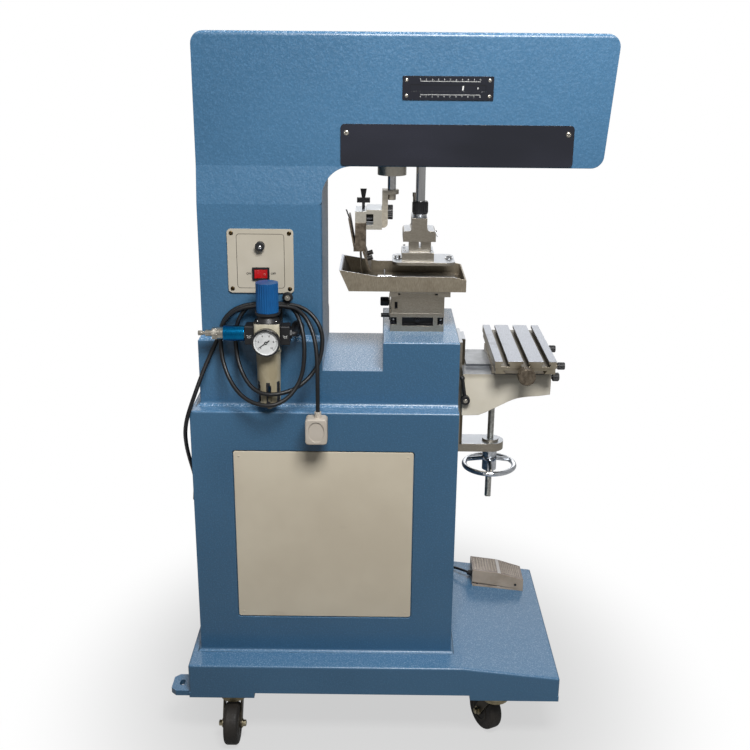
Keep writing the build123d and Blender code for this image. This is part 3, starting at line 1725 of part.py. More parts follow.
with BuildPart() as table_knob:
    with BuildSketch(front(-table_half - table_knob_shank)):
        with Locations((table_x, saddle_top + table_knob_up)):
            Circle(table_knob_r)
    extrude(amount=table_knob_len)
    fillet(table_knob.edges(), small_round)
    with BuildSketch(front(-table_half)):
        with Locations((table_x, saddle_top + table_knob_up)):
            Circle(lock_shank_r)
    extrude(amount=table_knob_shank)
save(table_knob, "table_knob")

# Foot pedal on the plinth's slope: plate and riser with the pivot pin, and the shell that rocks on it
pedal_left = 193
pedal_right = 296
pedal_deep = 58
pedal_past = 12
pedal_high = 36
pedal_tail = 25
pedal_bend = 247
pedal_bend_h = 35
pedal_plate_t = 4
pedal_press = 3
upward_share = 0.5
riser_in = 4
riser_h = 6
shell_t = 2.5
pin_in = 14
pin_up = 12
pin_r = 2.5
pedal_gland_r = 7.5
pedal_gland_len = 7
pedal_gland_y = 118
pedal_gland_aside = 4.5
pedal_gland_up = 17.5
pedal_far = cabinet_half + pedal_past
pedal_near = pedal_far - pedal_deep
pedal_mid_y = (pedal_near + pedal_far) / 2
pedal_half = (pedal_far - pedal_near) / 2


def slope_z(x):
    return plinth_top - (x - plinth_bend) * plinth_drop / (plinth_right - plinth_bend)


pin_x = pedal_right - pin_in
pin_z = slope_z(pin_x) + pin_up
pedal_gland_z = slope_z(pedal_left) + pedal_gland_up
lift_left = (pin_x - pedal_left) * tan(radians(pedal_press))
with BuildPart() as pedal_base:
    with BuildSketch(front(pedal_mid_y)):
        with BuildLine():
            Polyline(
                (pedal_left, slope_z(pedal_left)),
                (pedal_right, slope_z(pedal_right)),
                (pedal_right, slope_z(pedal_right) + pedal_plate_t),
                (pedal_left, slope_z(pedal_left) + pedal_plate_t),
                close=True,
            )
        make_face()
    extrude(amount=pedal_half, both=True)
    with BuildSketch(front(pedal_mid_y)):
        with BuildLine():
            Polyline(
                (pedal_left + riser_in, slope_z(pedal_left + riser_in) + pedal_plate_t),
                (pedal_right - riser_in, slope_z(pedal_right - riser_in) + pedal_plate_t),
                (pedal_right - riser_in, slope_z(pedal_right - riser_in) + pedal_plate_t + riser_h),
                (pedal_left + riser_in, slope_z(pedal_left + riser_in) + pedal_plate_t + riser_h),
                close=True,
            )
        make_face()
    extrude(amount=pedal_half - riser_in, both=True)
    with BuildSketch(front(pedal_mid_y)):
        with Locations((pin_x, pin_z)):
            Circle(pin_r)
    extrude(amount=pedal_half, both=True)
    with BuildSketch(side(pedal_left + riser_in)):
        with Locations((pedal_gland_y, pedal_gland_z)):
            Circle(pedal_gland_r)
            Rectangle(2 * pedal_gland_r, pedal_gland_z - slope_z(pedal_left), align=(Align.CENTER, Align.MAX))
    extrude(amount=riser_h)
save(pedal_base, "pedal_base")

with BuildPart() as pedal_treadle:
    with BuildSketch(front(pedal_mid_y)):
        with BuildLine():
            Polyline(
                (pedal_left, slope_z(pedal_left) + pedal_plate_t + lift_left + face_gap),
                (pin_x, slope_z(pin_x) + pedal_plate_t + face_gap),
                (pedal_right, slope_z(pedal_right) + pedal_plate_t + face_gap),
                (pedal_right, slope_z(pedal_right) + pedal_tail),
                (pedal_bend, slope_z(pedal_bend) + pedal_bend_h),
                (pedal_left, slope_z(pedal_left) + pedal_high),
                close=True,
            )
        make_face()
    extrude(amount=pedal_half, both=True)
    top_edges = pedal_treadle.faces().filter_by(lambda f: f.normal_at().Z > upward_share).edges()
    fillet(top_edges.filter_by(Axis.Y, reverse=True), small_round)
    with BuildSketch(front(pedal_mid_y)):
        with BuildLine():
            Polyline(
                (pedal_left + shell_t, slope_z(pedal_left) - cut_over),
                (pedal_right - shell_t, slope_z(pedal_right) - cut_over),
                (pedal_right - shell_t, slope_z(pedal_right) + pedal_tail - 2 * shell_t),
                (pedal_bend, slope_z(pedal_bend) + pedal_bend_h - shell_t),
                (pedal_left + shell_t, slope_z(pedal_left) + pedal_high - shell_t),
                close=True,
            )
        make_face()
    extrude(amount=pedal_half - shell_t, both=True, mode=Mode.SUBTRACT)
    with BuildSketch(front(pedal_mid_y)):
        with Locations((pin_x, pin_z)):
            Circle(pin_r + run_gap)
    extrude(amount=pedal_half + cut_over, both=True, mode=Mode.SUBTRACT)
    with BuildSketch(side(pedal_left - cut_over)):
        with Locations((pedal_gland_y, pedal_gland_z + lift_left)):
            Circle(pedal_gland_r)
        with Locations((pedal_gland_y, pedal_gland_z + lift_left)):
            Rectangle(2 * pedal_gland_r, pedal_high, align=(Align.CENTER, Align.MAX))
    extrude(amount=shell_t + 2 * cut_over, mode=Mode.SUBTRACT)
save(pedal_treadle, "pedal_treadle")

# Cords. Hand-chosen points for the free runs, and formulas for the coil over the bracket and the hank


def bends(points):
    """Corner radii of a route: as wide as the shorter of the two runs at each corner allows."""
    radii = []
    for before, here, after in zip(points, points[1:], points[2:]):
        come = Vector(*here) - Vector(*before)
        leave = Vector(*after) - Vector(*here)
        half_turn = radians(come.get_angle(leave)) / 2
        radii.append(bend_share * min(come.length, leave.length) / tan(half_turn))
    return radii


def biarc(start, start_way, end, end_way):
    """Two arcs, tangent to each other, that leave start and reach end along the given ways."""
    span = end - start
    ways = start_way + end_way
    square = 2 * (1 - start_way.dot(end_way))
    linear = 2 * span.dot(ways)
    reach = (-linear + (linear**2 + 4 * square * span.dot(span)) ** 0.5) / (2 * square)
    joint = (start + start_way * reach + end - end_way * reach) / 2
    joint_way = (span - ways * reach).normalized()
    TangentArc(start, joint, tangent=start_way)
    TangentArc(joint, end, tangent=joint_way)


def least_gap(wire, radius, apart):
    """Least clear distance between stretches of a tube that are a given length apart along it."""
    count = int(wire.length / radius)
    spots = [wire.position_at(k / count) for k in range(count + 1)]
    skip = int(apart / radius)
    pairs = [(i, j) for i in range(count + 1) for j in range(i + skip, count + 1)]
    near = [((spots[i] - spots[j]).length, spots[i]) for i, j in pairs]
    gap, place = min(near, key=lambda pair: pair[0])
    return round(gap - 2 * radius, 2), [round(v) for v in place]


bend_share = 0.45
coil_apart = 8
cord_r = 3.5
rest_gap = 0.3
cord_gland_y = -60
cord_gland_down = 200
cord_gland_z = cabinet_top - cord_gland_down
cord_gland_out = 12
cord_gland_r = 6
cord_gland_h = 24
lane_left = -200
lane_right = -152
lane_pitch = 7.9
lane_z = neck_low + bracket_t + rest_gap + cord_r
lane_near = -column_half - cord_r - small_round
lead_points = [
    (cabinet_left - cord_gland_out, cord_gland_y, cord_gland_z + cord_gland_h),
    (cabinet_left - cord_gland_out, cord_gland_y, 462),
    (-329, -74, 492),
    (-330, -92, 520),
    (-328, -115, 547),
    (-324, -140, 580),
    (-316, -154, 612),
    (-303, -150, 648),
    (-290, -134, 684),
    (-277, -121, 713),
    (-262, -115, 745),
]
tail_points = [
    (lane_left, lane_near - 2 * lane_pitch, lane_z),
    (-146, lane_near - 2 * lane_pitch, lane_z),
    (-124, -136, 786),
    (-111, -149, 769),
    (-103, -160, 747),
    (-99.5, -169, 722),
    (-98.5, -176, 695),
    (-98.5, -178.5, 662),
    (-98.5, -178.5, 632),
]
loop_points = (
    ((-91, -133, 735), (-178, -170.5, 657), (-237, -122, 736)),
    ((-119.5, -158, 720), (-182, -185, 643), (-262, -125, 738)),
)
right = Vector(1, 0, 0)
up = Vector(0, 0, 1)
lead_radii = bends(lead_points)
tail_radii = bends(tail_points)
print("power cord radii", [round(r) for r in lead_radii], [round(r) for r in tail_radii])
with BuildPart() as power_cord:
    with BuildLine() as cord_line:
        FilletPolyline(*lead_points, radius=lead_radii)
        here = Vector(*lead_points[-1])
        heading = (here - Vector(*lead_points[-2])).normalized()
        for turn, (right_point, low_point, left_point) in enumerate(loop_points):
            lane_y = lane_near - turn * lane_pitch
            lane_start = Vector(lane_left, lane_y, lane_z)
            lane_end = Vector(lane_right, lane_y, lane_z)
            biarc(here, heading, lane_start, right)
            Line(lane_start, lane_end)
            biarc(lane_end, right, Vector(*right_point), -up)
            biarc(Vector(*right_point), -up, Vector(*low_point), -right)
            biarc(Vector(*low_point), -right, Vector(*left_point), up)
            here = Vector(*left_point)
            heading = up
        biarc(here, heading, Vector(*tail_points[0]), right)
        FilletPolyline(*tail_points, radius=tail_radii)
    first = Vector(*lead_points[1]) - Vector(*lead_points[0])
    with BuildSketch(Plane(origin=lead_points[0], z_dir=first)):
        Circle(cord_r)
    sweep(transition=Transition.TRANSFORMED)
cord_wire = cord_line.wire()
cord_ratio = power_cord.part.volume / (pi * cord_r**2 * cord_wire.length)
print("power cord length", round(cord_wire.length), "volume ratio", round(cord_ratio, 3))
print("power cord gap", *least_gap(cord_wire, cord_r, coil_apart * cord_r))
save(power_cord, "power_cord")

# Plug on the cord's end: body with a recessed face and two round pins towards the machine
plug_x = -101
plug_w = 36
plug_depth = 24
plug_h = 44
plug_down = 40
plug_low = cabinet_top - plug_down
plug_front = -190
plug_round = 6
plug_face_in = 5
plug_face_deep = 1.2
pin_plug_r = 2.4
pin_plug_len = 19
pin_plug_half = 9.5
plug_boot_r = 5.5
plug_boot_h = 10
plug_z = plug_low + plug_h / 2
plug_back = plug_front + plug_depth
with BuildPart() as power_plug:
    with BuildSketch(front(plug_front)):
        with Locations((plug_x, plug_z)):
            RectangleRounded(plug_w, plug_h, plug_round)
    extrude(amount=-plug_depth)
    fillet(power_plug.faces().sort_by(Axis.Y)[0].edges(), 2 * small_round)
    with BuildSketch(front(plug_front)):
        with Locations((plug_x, plug_z)):
            Ellipse(plug_w / 2 - plug_face_in, plug_h / 2 - plug_face_in)
    extrude(amount=-plug_face_deep, mode=Mode.SUBTRACT)
    with BuildSketch(Plane.XZ.offset(-plug_back)):
        with Locations((plug_x, plug_z)):
            with GridLocations(2 * pin_plug_half, 0, 2, 1):
                Circle(pin_plug_r)
    extrude(amount=-pin_plug_len)
    with BuildSketch(level(plug_low + plug_h)):
        with Locations((tail_points[-1][0], tail_points[-1][1])):
            Circle(plug_boot_r)
    extrude(amount=plug_boot_h)
save(power_plug, "power_plug")

# Pedal cable: free run from the pedal, the hank of spare length behind the cabinet, run to its gland
pedal_cable_r = 2.5
hank_wide = 18.2
hank_thin = 15.4
hank_lift = 5.6
hank_run = 92
hank_right = 40
tie_t = 1
tie_w = 8
hank_z = plinth_top + tie_t + rest_gap + pedal_cable_r
hank_y = cabinet_half + foot_cove + tie_t + 2 * rest_gap + pedal_cable_r
hank_far = hank_y + 2 * hank_wide
hank_left = hank_right - hank_run
climb_steps = (2, 4, 6)
hank_halves = (hank_wide, hank_thin, hank_thin, hank_wide, hank_wide, hank_thin, hank_thin)
hank_top = hank_z + len(hank_halves) // 2 * hank_lift
rear_gland_x = 93
rear_gland_up = 90
rear_gland_z = plinth_top + rear_gland_up
rear_gland_out = 21
pedal_lead = [
    (pedal_left - pedal_gland_len, pedal_gland_y + pedal_gland_aside, pedal_gland_z),
    (170, 131.5, 175),
    (153, 150, 170),
    (126, hank_y, hank_z),
    (84, hank_y, hank_z),
    (hank_right, hank_y, hank_z),
]
pedal_tail_run = [
    (hank_right, hank_far, hank_top),
    (66, hank_far, hank_top),
    (87, 180, 199),
    (rear_gland_x, cabinet_half + rear_gland_out, 224),
    (rear_gland_x, cabinet_half + rear_gland_out, rear_gland_z),
]
pedal_lead_radii = bends(pedal_lead[:-1])
pedal_tail_radii = bends(pedal_tail_run)
print("pedal cable radii", [round(r) for r in pedal_lead_radii], [round(r) for r in pedal_tail_radii])
with BuildPart() as pedal_cable:
    with BuildLine() as cable_line:
        FilletPolyline(*pedal_lead[:-1], radius=pedal_lead_radii)
        here = Vector(*pedal_lead[-2])
        heading = -right
        for step, half_r in enumerate(hank_halves):
            climbs = step in climb_steps
            end_x = hank_left if step % 2 == 0 else hank_right
            there = Vector(end_x, here.Y, here.Z + hank_lift * climbs)
            if climbs:
                Spline(here, there, tangents=[heading, heading])
            else:
                Line(here, there)
            across = 2 * half_r if step % 2 == 0 else -2 * half_r
            here = there + Vector(0, across, 0)
            TangentArc(there, here, tangent=heading)
            heading = -heading
        Line(here, pedal_tail_run[0])
        FilletPolyline(*pedal_tail_run, radius=pedal_tail_radii)
    exit_way = Vector(*pedal_lead[1]) - Vector(*pedal_lead[0])
    with BuildSketch(Plane(origin=pedal_lead[0], z_dir=exit_way)):
        Circle(pedal_cable_r)
    sweep(transition=Transition.TRANSFORMED)
cable_wire = cable_line.wire()
cable_ratio = pedal_cable.part.volume / (pi * pedal_cable_r**2 * cable_wire.length)
print("pedal cable length", round(cable_wire.length), "volume ratio", round(cable_ratio, 3))
print("pedal cable gap", *least_gap(cable_wire, pedal_cable_r, coil_apart * pedal_cable_r))
save(pedal_cable, "pedal_cable")

# Cable glands on the cabinet and the pedal, and the tie round the hank
gland_arm_r = 5
gland_taper = 4.5
with BuildPart() as cable_fittings:
    with BuildSketch(level(cord_gland_z)):
        with Locations((cabinet_left - cord_gland_out, cord_gland_y)):
            Circle(cord_gland_r)
    extrude(amount=cord_gland_h, taper=gland_taper)
    with BuildSketch(side(cabinet_left)):
        with Locations((cord_gland_y, cord_gland_z + cord_gland_r)):
            Circle(gland_arm_r)
    extrude(amount=-cord_gland_out)
    with BuildSketch(level(rear_gland_z)):
        with Locations((rear_gland_x, cabinet_half + rear_gland_out)):
            Circle(cord_gland_r)
    extrude(amount=cord_gland_h)
    with BuildSketch(Plane.XZ.offset(-cabinet_half)):
        with Locations((rear_gland_x, rear_gland_z + cord_gland_h - cord_gland_r)):
            Circle(gland_arm_r)
    extrude(amount=-rear_gland_out)
    with BuildSketch(Plane(origin=pedal_lead[0], z_dir=exit_way)):
        Circle(gland_arm_r)
    extrude(amount=-pedal_gland_len - riser_in / 2)
    with BuildSketch(side(hank_right - hank_run / 2)):
        with BuildLine():
            tie_low = plinth_top
            tie_near = hank_y - pedal_cable_r - rest_gap
            tie_far = hank_far + pedal_cable_r + rest_gap
            tie_high = hank_top + pedal_cable_r + rest_gap
            Polyline(
                (tie_near - tie_t, tie_low),
                (tie_far + tie_t, tie_low),
                (tie_far + tie_t, tie_high + tie_t),
                (tie_near - tie_t, tie_high + tie_t),
                close=True,
            )
        make_face()
        with Locations(((tie_near + tie_far) / 2, (tie_low + tie_t + tie_high) / 2)):
            Rectangle(tie_far - tie_near, tie_high - tie_low - tie_t, mode=Mode.SUBTRACT)
    extrude(amount=tie_w)
save(cable_fittings, "cable_fittings")
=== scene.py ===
import json
import math

import bmesh
import bpy
from mathutils import Matrix, Vector
from mathutils.bvhtree import BVHTree


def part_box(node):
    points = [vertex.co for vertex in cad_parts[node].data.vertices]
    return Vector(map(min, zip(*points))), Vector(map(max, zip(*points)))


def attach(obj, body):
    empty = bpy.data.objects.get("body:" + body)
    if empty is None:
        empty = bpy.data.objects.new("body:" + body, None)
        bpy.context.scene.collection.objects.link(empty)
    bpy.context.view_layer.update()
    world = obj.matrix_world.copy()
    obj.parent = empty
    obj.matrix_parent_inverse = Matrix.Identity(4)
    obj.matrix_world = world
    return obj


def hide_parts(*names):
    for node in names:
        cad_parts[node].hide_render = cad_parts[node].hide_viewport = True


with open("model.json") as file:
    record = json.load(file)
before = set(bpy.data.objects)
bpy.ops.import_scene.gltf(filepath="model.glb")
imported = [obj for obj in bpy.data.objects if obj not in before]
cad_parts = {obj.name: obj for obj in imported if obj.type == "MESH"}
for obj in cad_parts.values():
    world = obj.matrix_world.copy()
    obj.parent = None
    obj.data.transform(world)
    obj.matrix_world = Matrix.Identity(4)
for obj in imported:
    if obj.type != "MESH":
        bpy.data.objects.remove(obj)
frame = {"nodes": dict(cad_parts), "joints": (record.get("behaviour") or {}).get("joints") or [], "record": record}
bpy.context.scene.view_settings.view_transform = "Standard"
nodes = frame["nodes"]
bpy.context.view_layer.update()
print("frame: machine loaded,", len(nodes), "nodes")


def tone(red, green, blue):
    # a colour as read off a screen, made linear
    steps = [c / 255 for c in (red, green, blue)]
    return tuple(s / 12.92 if s <= 0.04045 else ((s + 0.055) / 1.055) ** 2.4 for s in steps) + (1,)


def placed(name, data):
    # a new object in the scene
    thing = bpy.data.objects.new(name, data)
    bpy.context.scene.collection.objects.link(thing)
    return thing


def plugIn(tree, slot, value):
    if isinstance(value, Wire):
        tree.links.new(value.socket, slot)
    else:
        slot.default_value = value


def sums(operation, swapped=False):
    # a method that adds one Math node
    def work(wire, other=0.0):
        made = wire.tree.nodes.new("ShaderNodeMath")
        made.operation = operation
        for slot, value in zip(made.inputs, (other, wire) if swapped else (wire, other)):
            plugIn(wire.tree, slot, value)
        return Wire(wire.tree, made.outputs[0])
    return work


class Wire:
    # a socket on which sums are written as plain expressions
    def __init__(self, tree, socket):
        self.tree = tree
        self.socket = socket

    __add__ = __radd__ = sums("ADD")
    __mul__ = __rmul__ = sums("MULTIPLY")
    __sub__ = sums("SUBTRACT")
    __rsub__ = sums("SUBTRACT", True)
    __truediv__ = sums("DIVIDE")
    __gt__ = sums("GREATER_THAN")
    __lt__ = sums("LESS_THAN")
    __abs__ = sums("ABSOLUTE")
    least = sums("MINIMUM")
    most = sums("MAXIMUM")
    root = sums("SQRT")


def within(value, low, high):
    return (value > low) * (value < high)


class Board:
    # a node tree, and the one method that adds nodes to it
    prefix = "ShaderNode"

    def __init__(self, tree):
        self.tree = tree

    def node(self, kind, settings=None, sockets=None, out=0):
        made = self.tree.nodes.new(kind if kind.startswith(("NodeGroup", "Function")) else self.prefix + kind)
        for key, value in (settings or {}).items():
            setattr(made, key, value)
        for key, value in (sockets or {}).items():
            plugIn(self.tree, made.inputs[key], value)
        return Wire(self.tree, made.outputs[out]) if made.outputs else made

    def parts(self, wire):
        return {socket.name: Wire(self.tree, socket) for socket in wire.socket.node.outputs}

    def split(self, vector):
        return list(self.parts(self.node("SeparateXYZ", None, {"Vector": vector})).values())

    def soften(self, value, low, high, start=0.0, end=1.0):
        return self.node("MapRange", {"interpolation_type": "SMOOTHSTEP"}, {
            "Value": value, "From Min": low, "From Max": high, "To Min": start, "To Max": end})


looks = {}


class Finish(Board):
    # one material: plain sockets are set once, patterns come from the methods
    def __init__(self, name, **plain):
        self.name = name
        self.material = bpy.data.materials.new(name)
        self.material.use_nodes = True
        super().__init__(self.material.node_tree)
        self.shader = self.tree.nodes["Principled BSDF"]
        self.feed(**plain)

    def feed(self, **sockets):
        for key, value in sockets.items():
            plugIn(self.tree, self.shader.inputs[key.replace("_", " ")], value)

    def axes(self):
        return self.split(self.node("TexCoord", out="Object"))

    def facing(self):
        return self.split(self.node("NewGeometry", out="True Normal"))

    def inside(self, *boxes):
        # 1 inside any of the boxes, each given by two corners
        axes = self.axes()
        return sum(math.prod(within(*side) for side in zip(axes, *box)) for box in boxes).least(1.0)

    def noise(self, scale, detail=2.0, rough=0.5, stretch=(1, 1, 1)):
        spot = self.node("Mapping", None, {"Vector": self.node("TexCoord", out="Object"), "Scale": stretch})
        sockets = {"Vector": spot, "Scale": scale, "Detail": detail, "Roughness": rough}
        return self.node("TexNoise", None, sockets)

    def mix(self, amount, first, second):
        first, second = (tone(*c) if isinstance(c, tuple) else c for c in (first, second))
        return self.node("Mix", {"data_type": "RGBA"}, {0: amount, 6: first, 7: second}, out=2)

    def blend(self, pattern, first, second, low=0.35, high=0.7):
        return self.mix(self.soften(pattern, low, high), first, second)

    def parted(self, mask, pattern, one, other, low=0.35):
        return self.mix(mask, self.blend(pattern, *one, low), self.blend(pattern, *other, low))

    # mixes in a second colour by a pattern: real stains, and also painted sheen and highlights
    def stain(self, colour, pattern, low, high, amount, second):
        return self.mix(self.soften(pattern, low, high) * amount, colour, second)

    def softEdge(self, radius):
        return self.node("Bevel", {"samples": 4}, {"Radius": radius})

    def worn(self, colour, radius, amount, shine):
        # painted highlight along edges, by how far the rounded normal leaves the real one
        turned = self.node("VectorMath", {"operation": "DOT_PRODUCT"}, {
            0: self.softEdge(radius), 1: self.node("NewGeometry", out="Normal")}, out="Value")
        return self.stain(colour, 1 - turned, 0.02, 0.25, amount, shine)

    def keep(self, colour, pattern, rough, radius, depth=0.0, strength=0.5, spread=0.3, **sockets):
        # one pattern drives the roughness, and with a depth also the relief
        normal = self.softEdge(radius)
        if depth:
            normal = self.node("Bump", None, {
                "Height": pattern, "Distance": depth, "Strength": strength, "Normal": normal})
        self.feed(Base_Color=colour, Roughness=self.soften(pattern, spread, 1 - spread, *rough), Normal=normal,
                  **sockets)
        looks[self.name] = self.material


# paint tones: side and deep are the paint's own blues; level, glint and edge are painted sheen, glint and
# highlight
paintTones = {
    "side": (66, 110, 144), "deep": (55, 97, 129), "edge": (112, 156, 192), "level": (92, 144, 188),
    "glint": (205, 222, 240),
}


def bluePaint(name, peelDepth, sparkle):
    paint = Finish(name, Coat_Weight=0.35, Coat_Roughness=0.22)
    grain = paint.noise(420, 2.0, 0.6)
    up = paint.soften(paint.facing()[2], 0.35, 0.95)
    colour = paint.blend(paint.noise(2.2, 3.0), paintTones["deep"], paintTones["side"])
    # pale speckle as painted sparkle, a lighter tone and glints on level faces as painted sheen of the light
    # above, and a painted highlight along the edges
    colour = paint.stain(colour, grain, 0.45, 0.75, 0.25, paintTones["level"])
    colour = paint.mix(up * 0.55, colour, paintTones["level"])
    colour = paint.stain(colour, grain, 0.5, 0.66, up * sparkle, paintTones["glint"])
    colour = paint.worn(colour, 0.0016, 0.55, paintTones["edge"])
    paint.keep(colour, paint.noise(210, 1.5), (0.3, 0.46), 0.0012, peelDepth, 0.6)


def plainMetal(name, low, high, rough=(0.25, 0.4), lines=(1, 1, 1), scale=180, metallic=1.0, depth=0.00004,
               shine=None, top=None):
    # brushed metal; top is a painted reflection of the light above on its level faces, and edges get a painted
    # highlight
    metal = Finish(name, Metallic=metallic)
    brushed = metal.noise(scale, 3.0, 0.6, lines)
    colour = metal.blend(brushed, low, high, 0.3)
    colour = metal.stain(colour, metal.noise(14, 3.0), 0.5, 0.75, 0.3, low)
    if top:
        colour = metal.stain(colour, metal.facing()[2], 0.6, 0.95, 0.75, top)
    colour = metal.worn(colour, 0.0007, 0.3, shine or high)
    metal.keep(colour, brushed, rough, 0.0005, depth, spread=0.25)


def moulded(name, low, high, rough=(0.35, 0.5), scale=500, depth=0.00006, edge=None, coat=0.0, bevel=0.0006):
    plastic = Finish(name, Coat_Weight=coat, Coat_Roughness=0.1)
    # its own tone, with a painted highlight along its edges
    colour = plastic.worn(plastic.blend(plastic.noise(18, 2.0), low, high), bevel, 0.35, edge or high)
    plastic.keep(colour, plastic.noise(scale, 2.0, 0.6), rough, bevel, depth)


def twoTone(name, box, first, second, metals, rough, lines=(1, 1, 2)):
    # one node whose parts have two finishes, the second inside the box
    both = Finish(name)
    cloud = both.noise(120, 2.0, 0.5, lines)
    mask = both.inside(box)
    colour = both.parted(mask, cloud, first, second, 0.3)
    both.keep(colour, mask, rough, 0.0005, spread=0.0, Metallic=metals[0] + mask * (metals[1] - metals[0]))


bluePaint("castPaint", 0.0009, 0.85)
bluePaint("sheetPaint", 0.0004, 0.3)
moulded("blackPlastic", (22, 22, 24), (34, 34, 36), edge=(70, 70, 72))
moulded("redPlastic", (170, 16, 18), (205, 28, 26), (0.25, 0.4), coat=0.3)
moulded("bluePlastic", (4, 74, 130), (8, 92, 154), (0.34, 0.46), edge=(50, 140, 200))
moulded("plugGrey", (190, 180, 166), (206, 196, 183), (0.4, 0.55), bevel=0.002)
moulded("cordBlack", (12, 12, 13), (21, 21, 23), (0.34, 0.5), 700, bevel=0.0002)
moulded("screwBlack", (24, 23, 23), (40, 38, 37), (0.3, 0.45), edge=(110, 106, 100))
moulded("tyre", (30, 27, 24), (46, 41, 36), (0.55, 0.75), 260, 0.0002)
moulded("markWhite", (214, 214, 210), (232, 232, 228), bevel=0.0001)
moulded("markBlack", (26, 26, 26), (38, 37, 36), bevel=0.0001)
moulded("markPink", (214, 120, 110), (226, 140, 130), bevel=0.0001)
plainMetal("brightSteel", (196, 196, 196), (220, 220, 220), (0.1, 0.15), (1, 1, 0.1), 120, depth=0.000001)
# top: a painted reflection of the light above on level faces
plainMetal("groundSteel", (160, 151, 137), (184, 176, 162), (0.28, 0.42), (1, 1, 7), 320, depth=0.00002,
           top=(204, 211, 221))
plainMetal("plateSteel", (66, 64, 61), (104, 101, 97), (0.25, 0.42), (1, 8, 1))
plainMetal("aluminium", (196, 190, 176), (222, 216, 202), (0.3, 0.42), (1, 1, 5), 420, 0.8, 0.00002,
           top=(232, 240, 250))
plainMetal("nickel", (176, 170, 158), (214, 208, 196), (0.15, 0.3))
plainMetal("zinc", (146, 136, 110), (194, 184, 156), (0.2, 0.38))
plainMetal("innerMetal", (120, 121, 122), (158, 158, 160), (0.3, 0.45))
plainMetal("anodisedBlue", (8, 96, 150), (22, 140, 196), (0.14, 0.26), (9, 1, 1), shine=(120, 210, 235))
plainMetal("knobGrey", (88, 78, 66), (128, 116, 100), (0.35, 0.5), metallic=0.6)
plainMetal("bronze", (44, 34, 20), (96, 80, 52), (0.2, 0.35))
plainMetal("screwSteel", (158, 158, 152), (204, 204, 198), (0.3, 0.42))
plainMetal("hubBrown", (40, 36, 30), (74, 66, 54), (0.35, 0.55), metallic=0.5)
plainMetal("chrome", (186, 190, 196), (232, 235, 240), (0.05, 0.14), depth=0.000005)
polished = ((196, 196, 196), (220, 220, 220))
twoTone("padRod", ((-1, -1, 0.9262), (1, 1, 0.9471)), polished, ((20, 20, 22), (34, 34, 36)),
        (1.0, 0.0), (0.12, 0.4), (1, 1, 0.1))
twoTone("ramSteel", ((-1, -1, 0), (1, 1, 0.9663)), polished, ((190, 181, 165), (212, 204, 188)),
        (1.0, 0.6), (0.12, 0.4))
twoTone("saddleSteel", ((0.3097, -1, 0), (1, 1, 1)), ((150, 141, 127), (180, 171, 156)),
        ((20, 20, 21), (34, 33, 33)), (1.0, 0.0), (0.34, 0.42))


def beigePanel():
    # powder-coated sheet with faint smudges, and a painted highlight along its edges
    sheet = Finish("beigePanel", Coat_Roughness=0.3)
    colour = sheet.blend(sheet.noise(3.5, 4.0, 0.6), (212, 200, 178), (226, 215, 193), 0.3)
    smudge = sheet.noise(9, 3.0, 0.55, (1, 1, 1.8))
    colour = sheet.stain(colour, smudge, 0.62, 0.78, 0.35, (178, 166, 146))
    colour = sheet.worn(colour, 0.0008, 0.4, (236, 229, 214))
    sheet.keep(colour, sheet.noise(650, 1.5), (0.42, 0.56), 0.0006, 0.00006)


def panelSheet(middle=(-0.1935, 0.8635), half=(0.0335, 0.0395), face=-0.1049, ring=(0.0045, 0.0053)):
    # pale printed panel with a thin dark border line inside its edge
    sheet = Finish("panelSheet", Coat_Weight=0.2)
    cloud = sheet.noise(9, 3.0, 0.6)
    across, deep, high = sheet.axes()
    past = [(abs(axis - spot) - reach).most(0.0) for axis, spot, reach in zip((across, high), middle, half)]
    line = within(sum(side * side for side in past).root(), *ring) * (deep < face)
    colour = sheet.blend(cloud, (188, 180, 163), (203, 195, 179), 0.3)
    sheet.keep(sheet.mix(line, colour, (46, 38, 30)), cloud, (0.35, 0.5), 0.0005)


stageShadeAndBlack = (
    # corners of boxes: painted shade in the window, both pockets and the slot above, and the black end of the
    # clamp screw
    ((0.0383, -0.0457, 0.7408), (0.0917, 0.0457, 0.7562)),
    ((0.0183, -0.0457, 0.7428), (0.0297, -0.0335, 0.7562)),
    ((0.0988, -0.0457, 0.7428), (0.1102, -0.0335, 0.7562)),
    ((0.0253, -0.0455, 0.7708), (0.0307, -0.0200, 0.7832)),
    ((-1, -1, 0), (0.0181, 1, 0.7525)),
)


def stageSteel():
    # ground stage: painted shade in its windows, pockets and slot, the black end of its clamp screw, and a painted
    # highlight along its edges
    stage = Finish("stageSteel")
    lines = stage.noise(320, 3.0, 0.6, (1, 1, 7))
    dark = stage.inside(*stageShadeAndBlack)
    steel = stage.blend(lines, (156, 147, 132), (182, 173, 158), 0.3)
    steel = stage.stain(steel, stage.noise(22, 3.0), 0.5, 0.75, 0.3, (140, 131, 116))
    steel = stage.worn(steel, 0.0006, 0.5, (222, 214, 200))
    black = stage.blend(lines, (12, 14, 18), (34, 34, 38), 0.3)
    colour = stage.mix(dark, steel, black)
    stage.keep(colour, lines, (0.28, 0.42), 0.0005, spread=0.25, Metallic=1 - dark * 0.8)


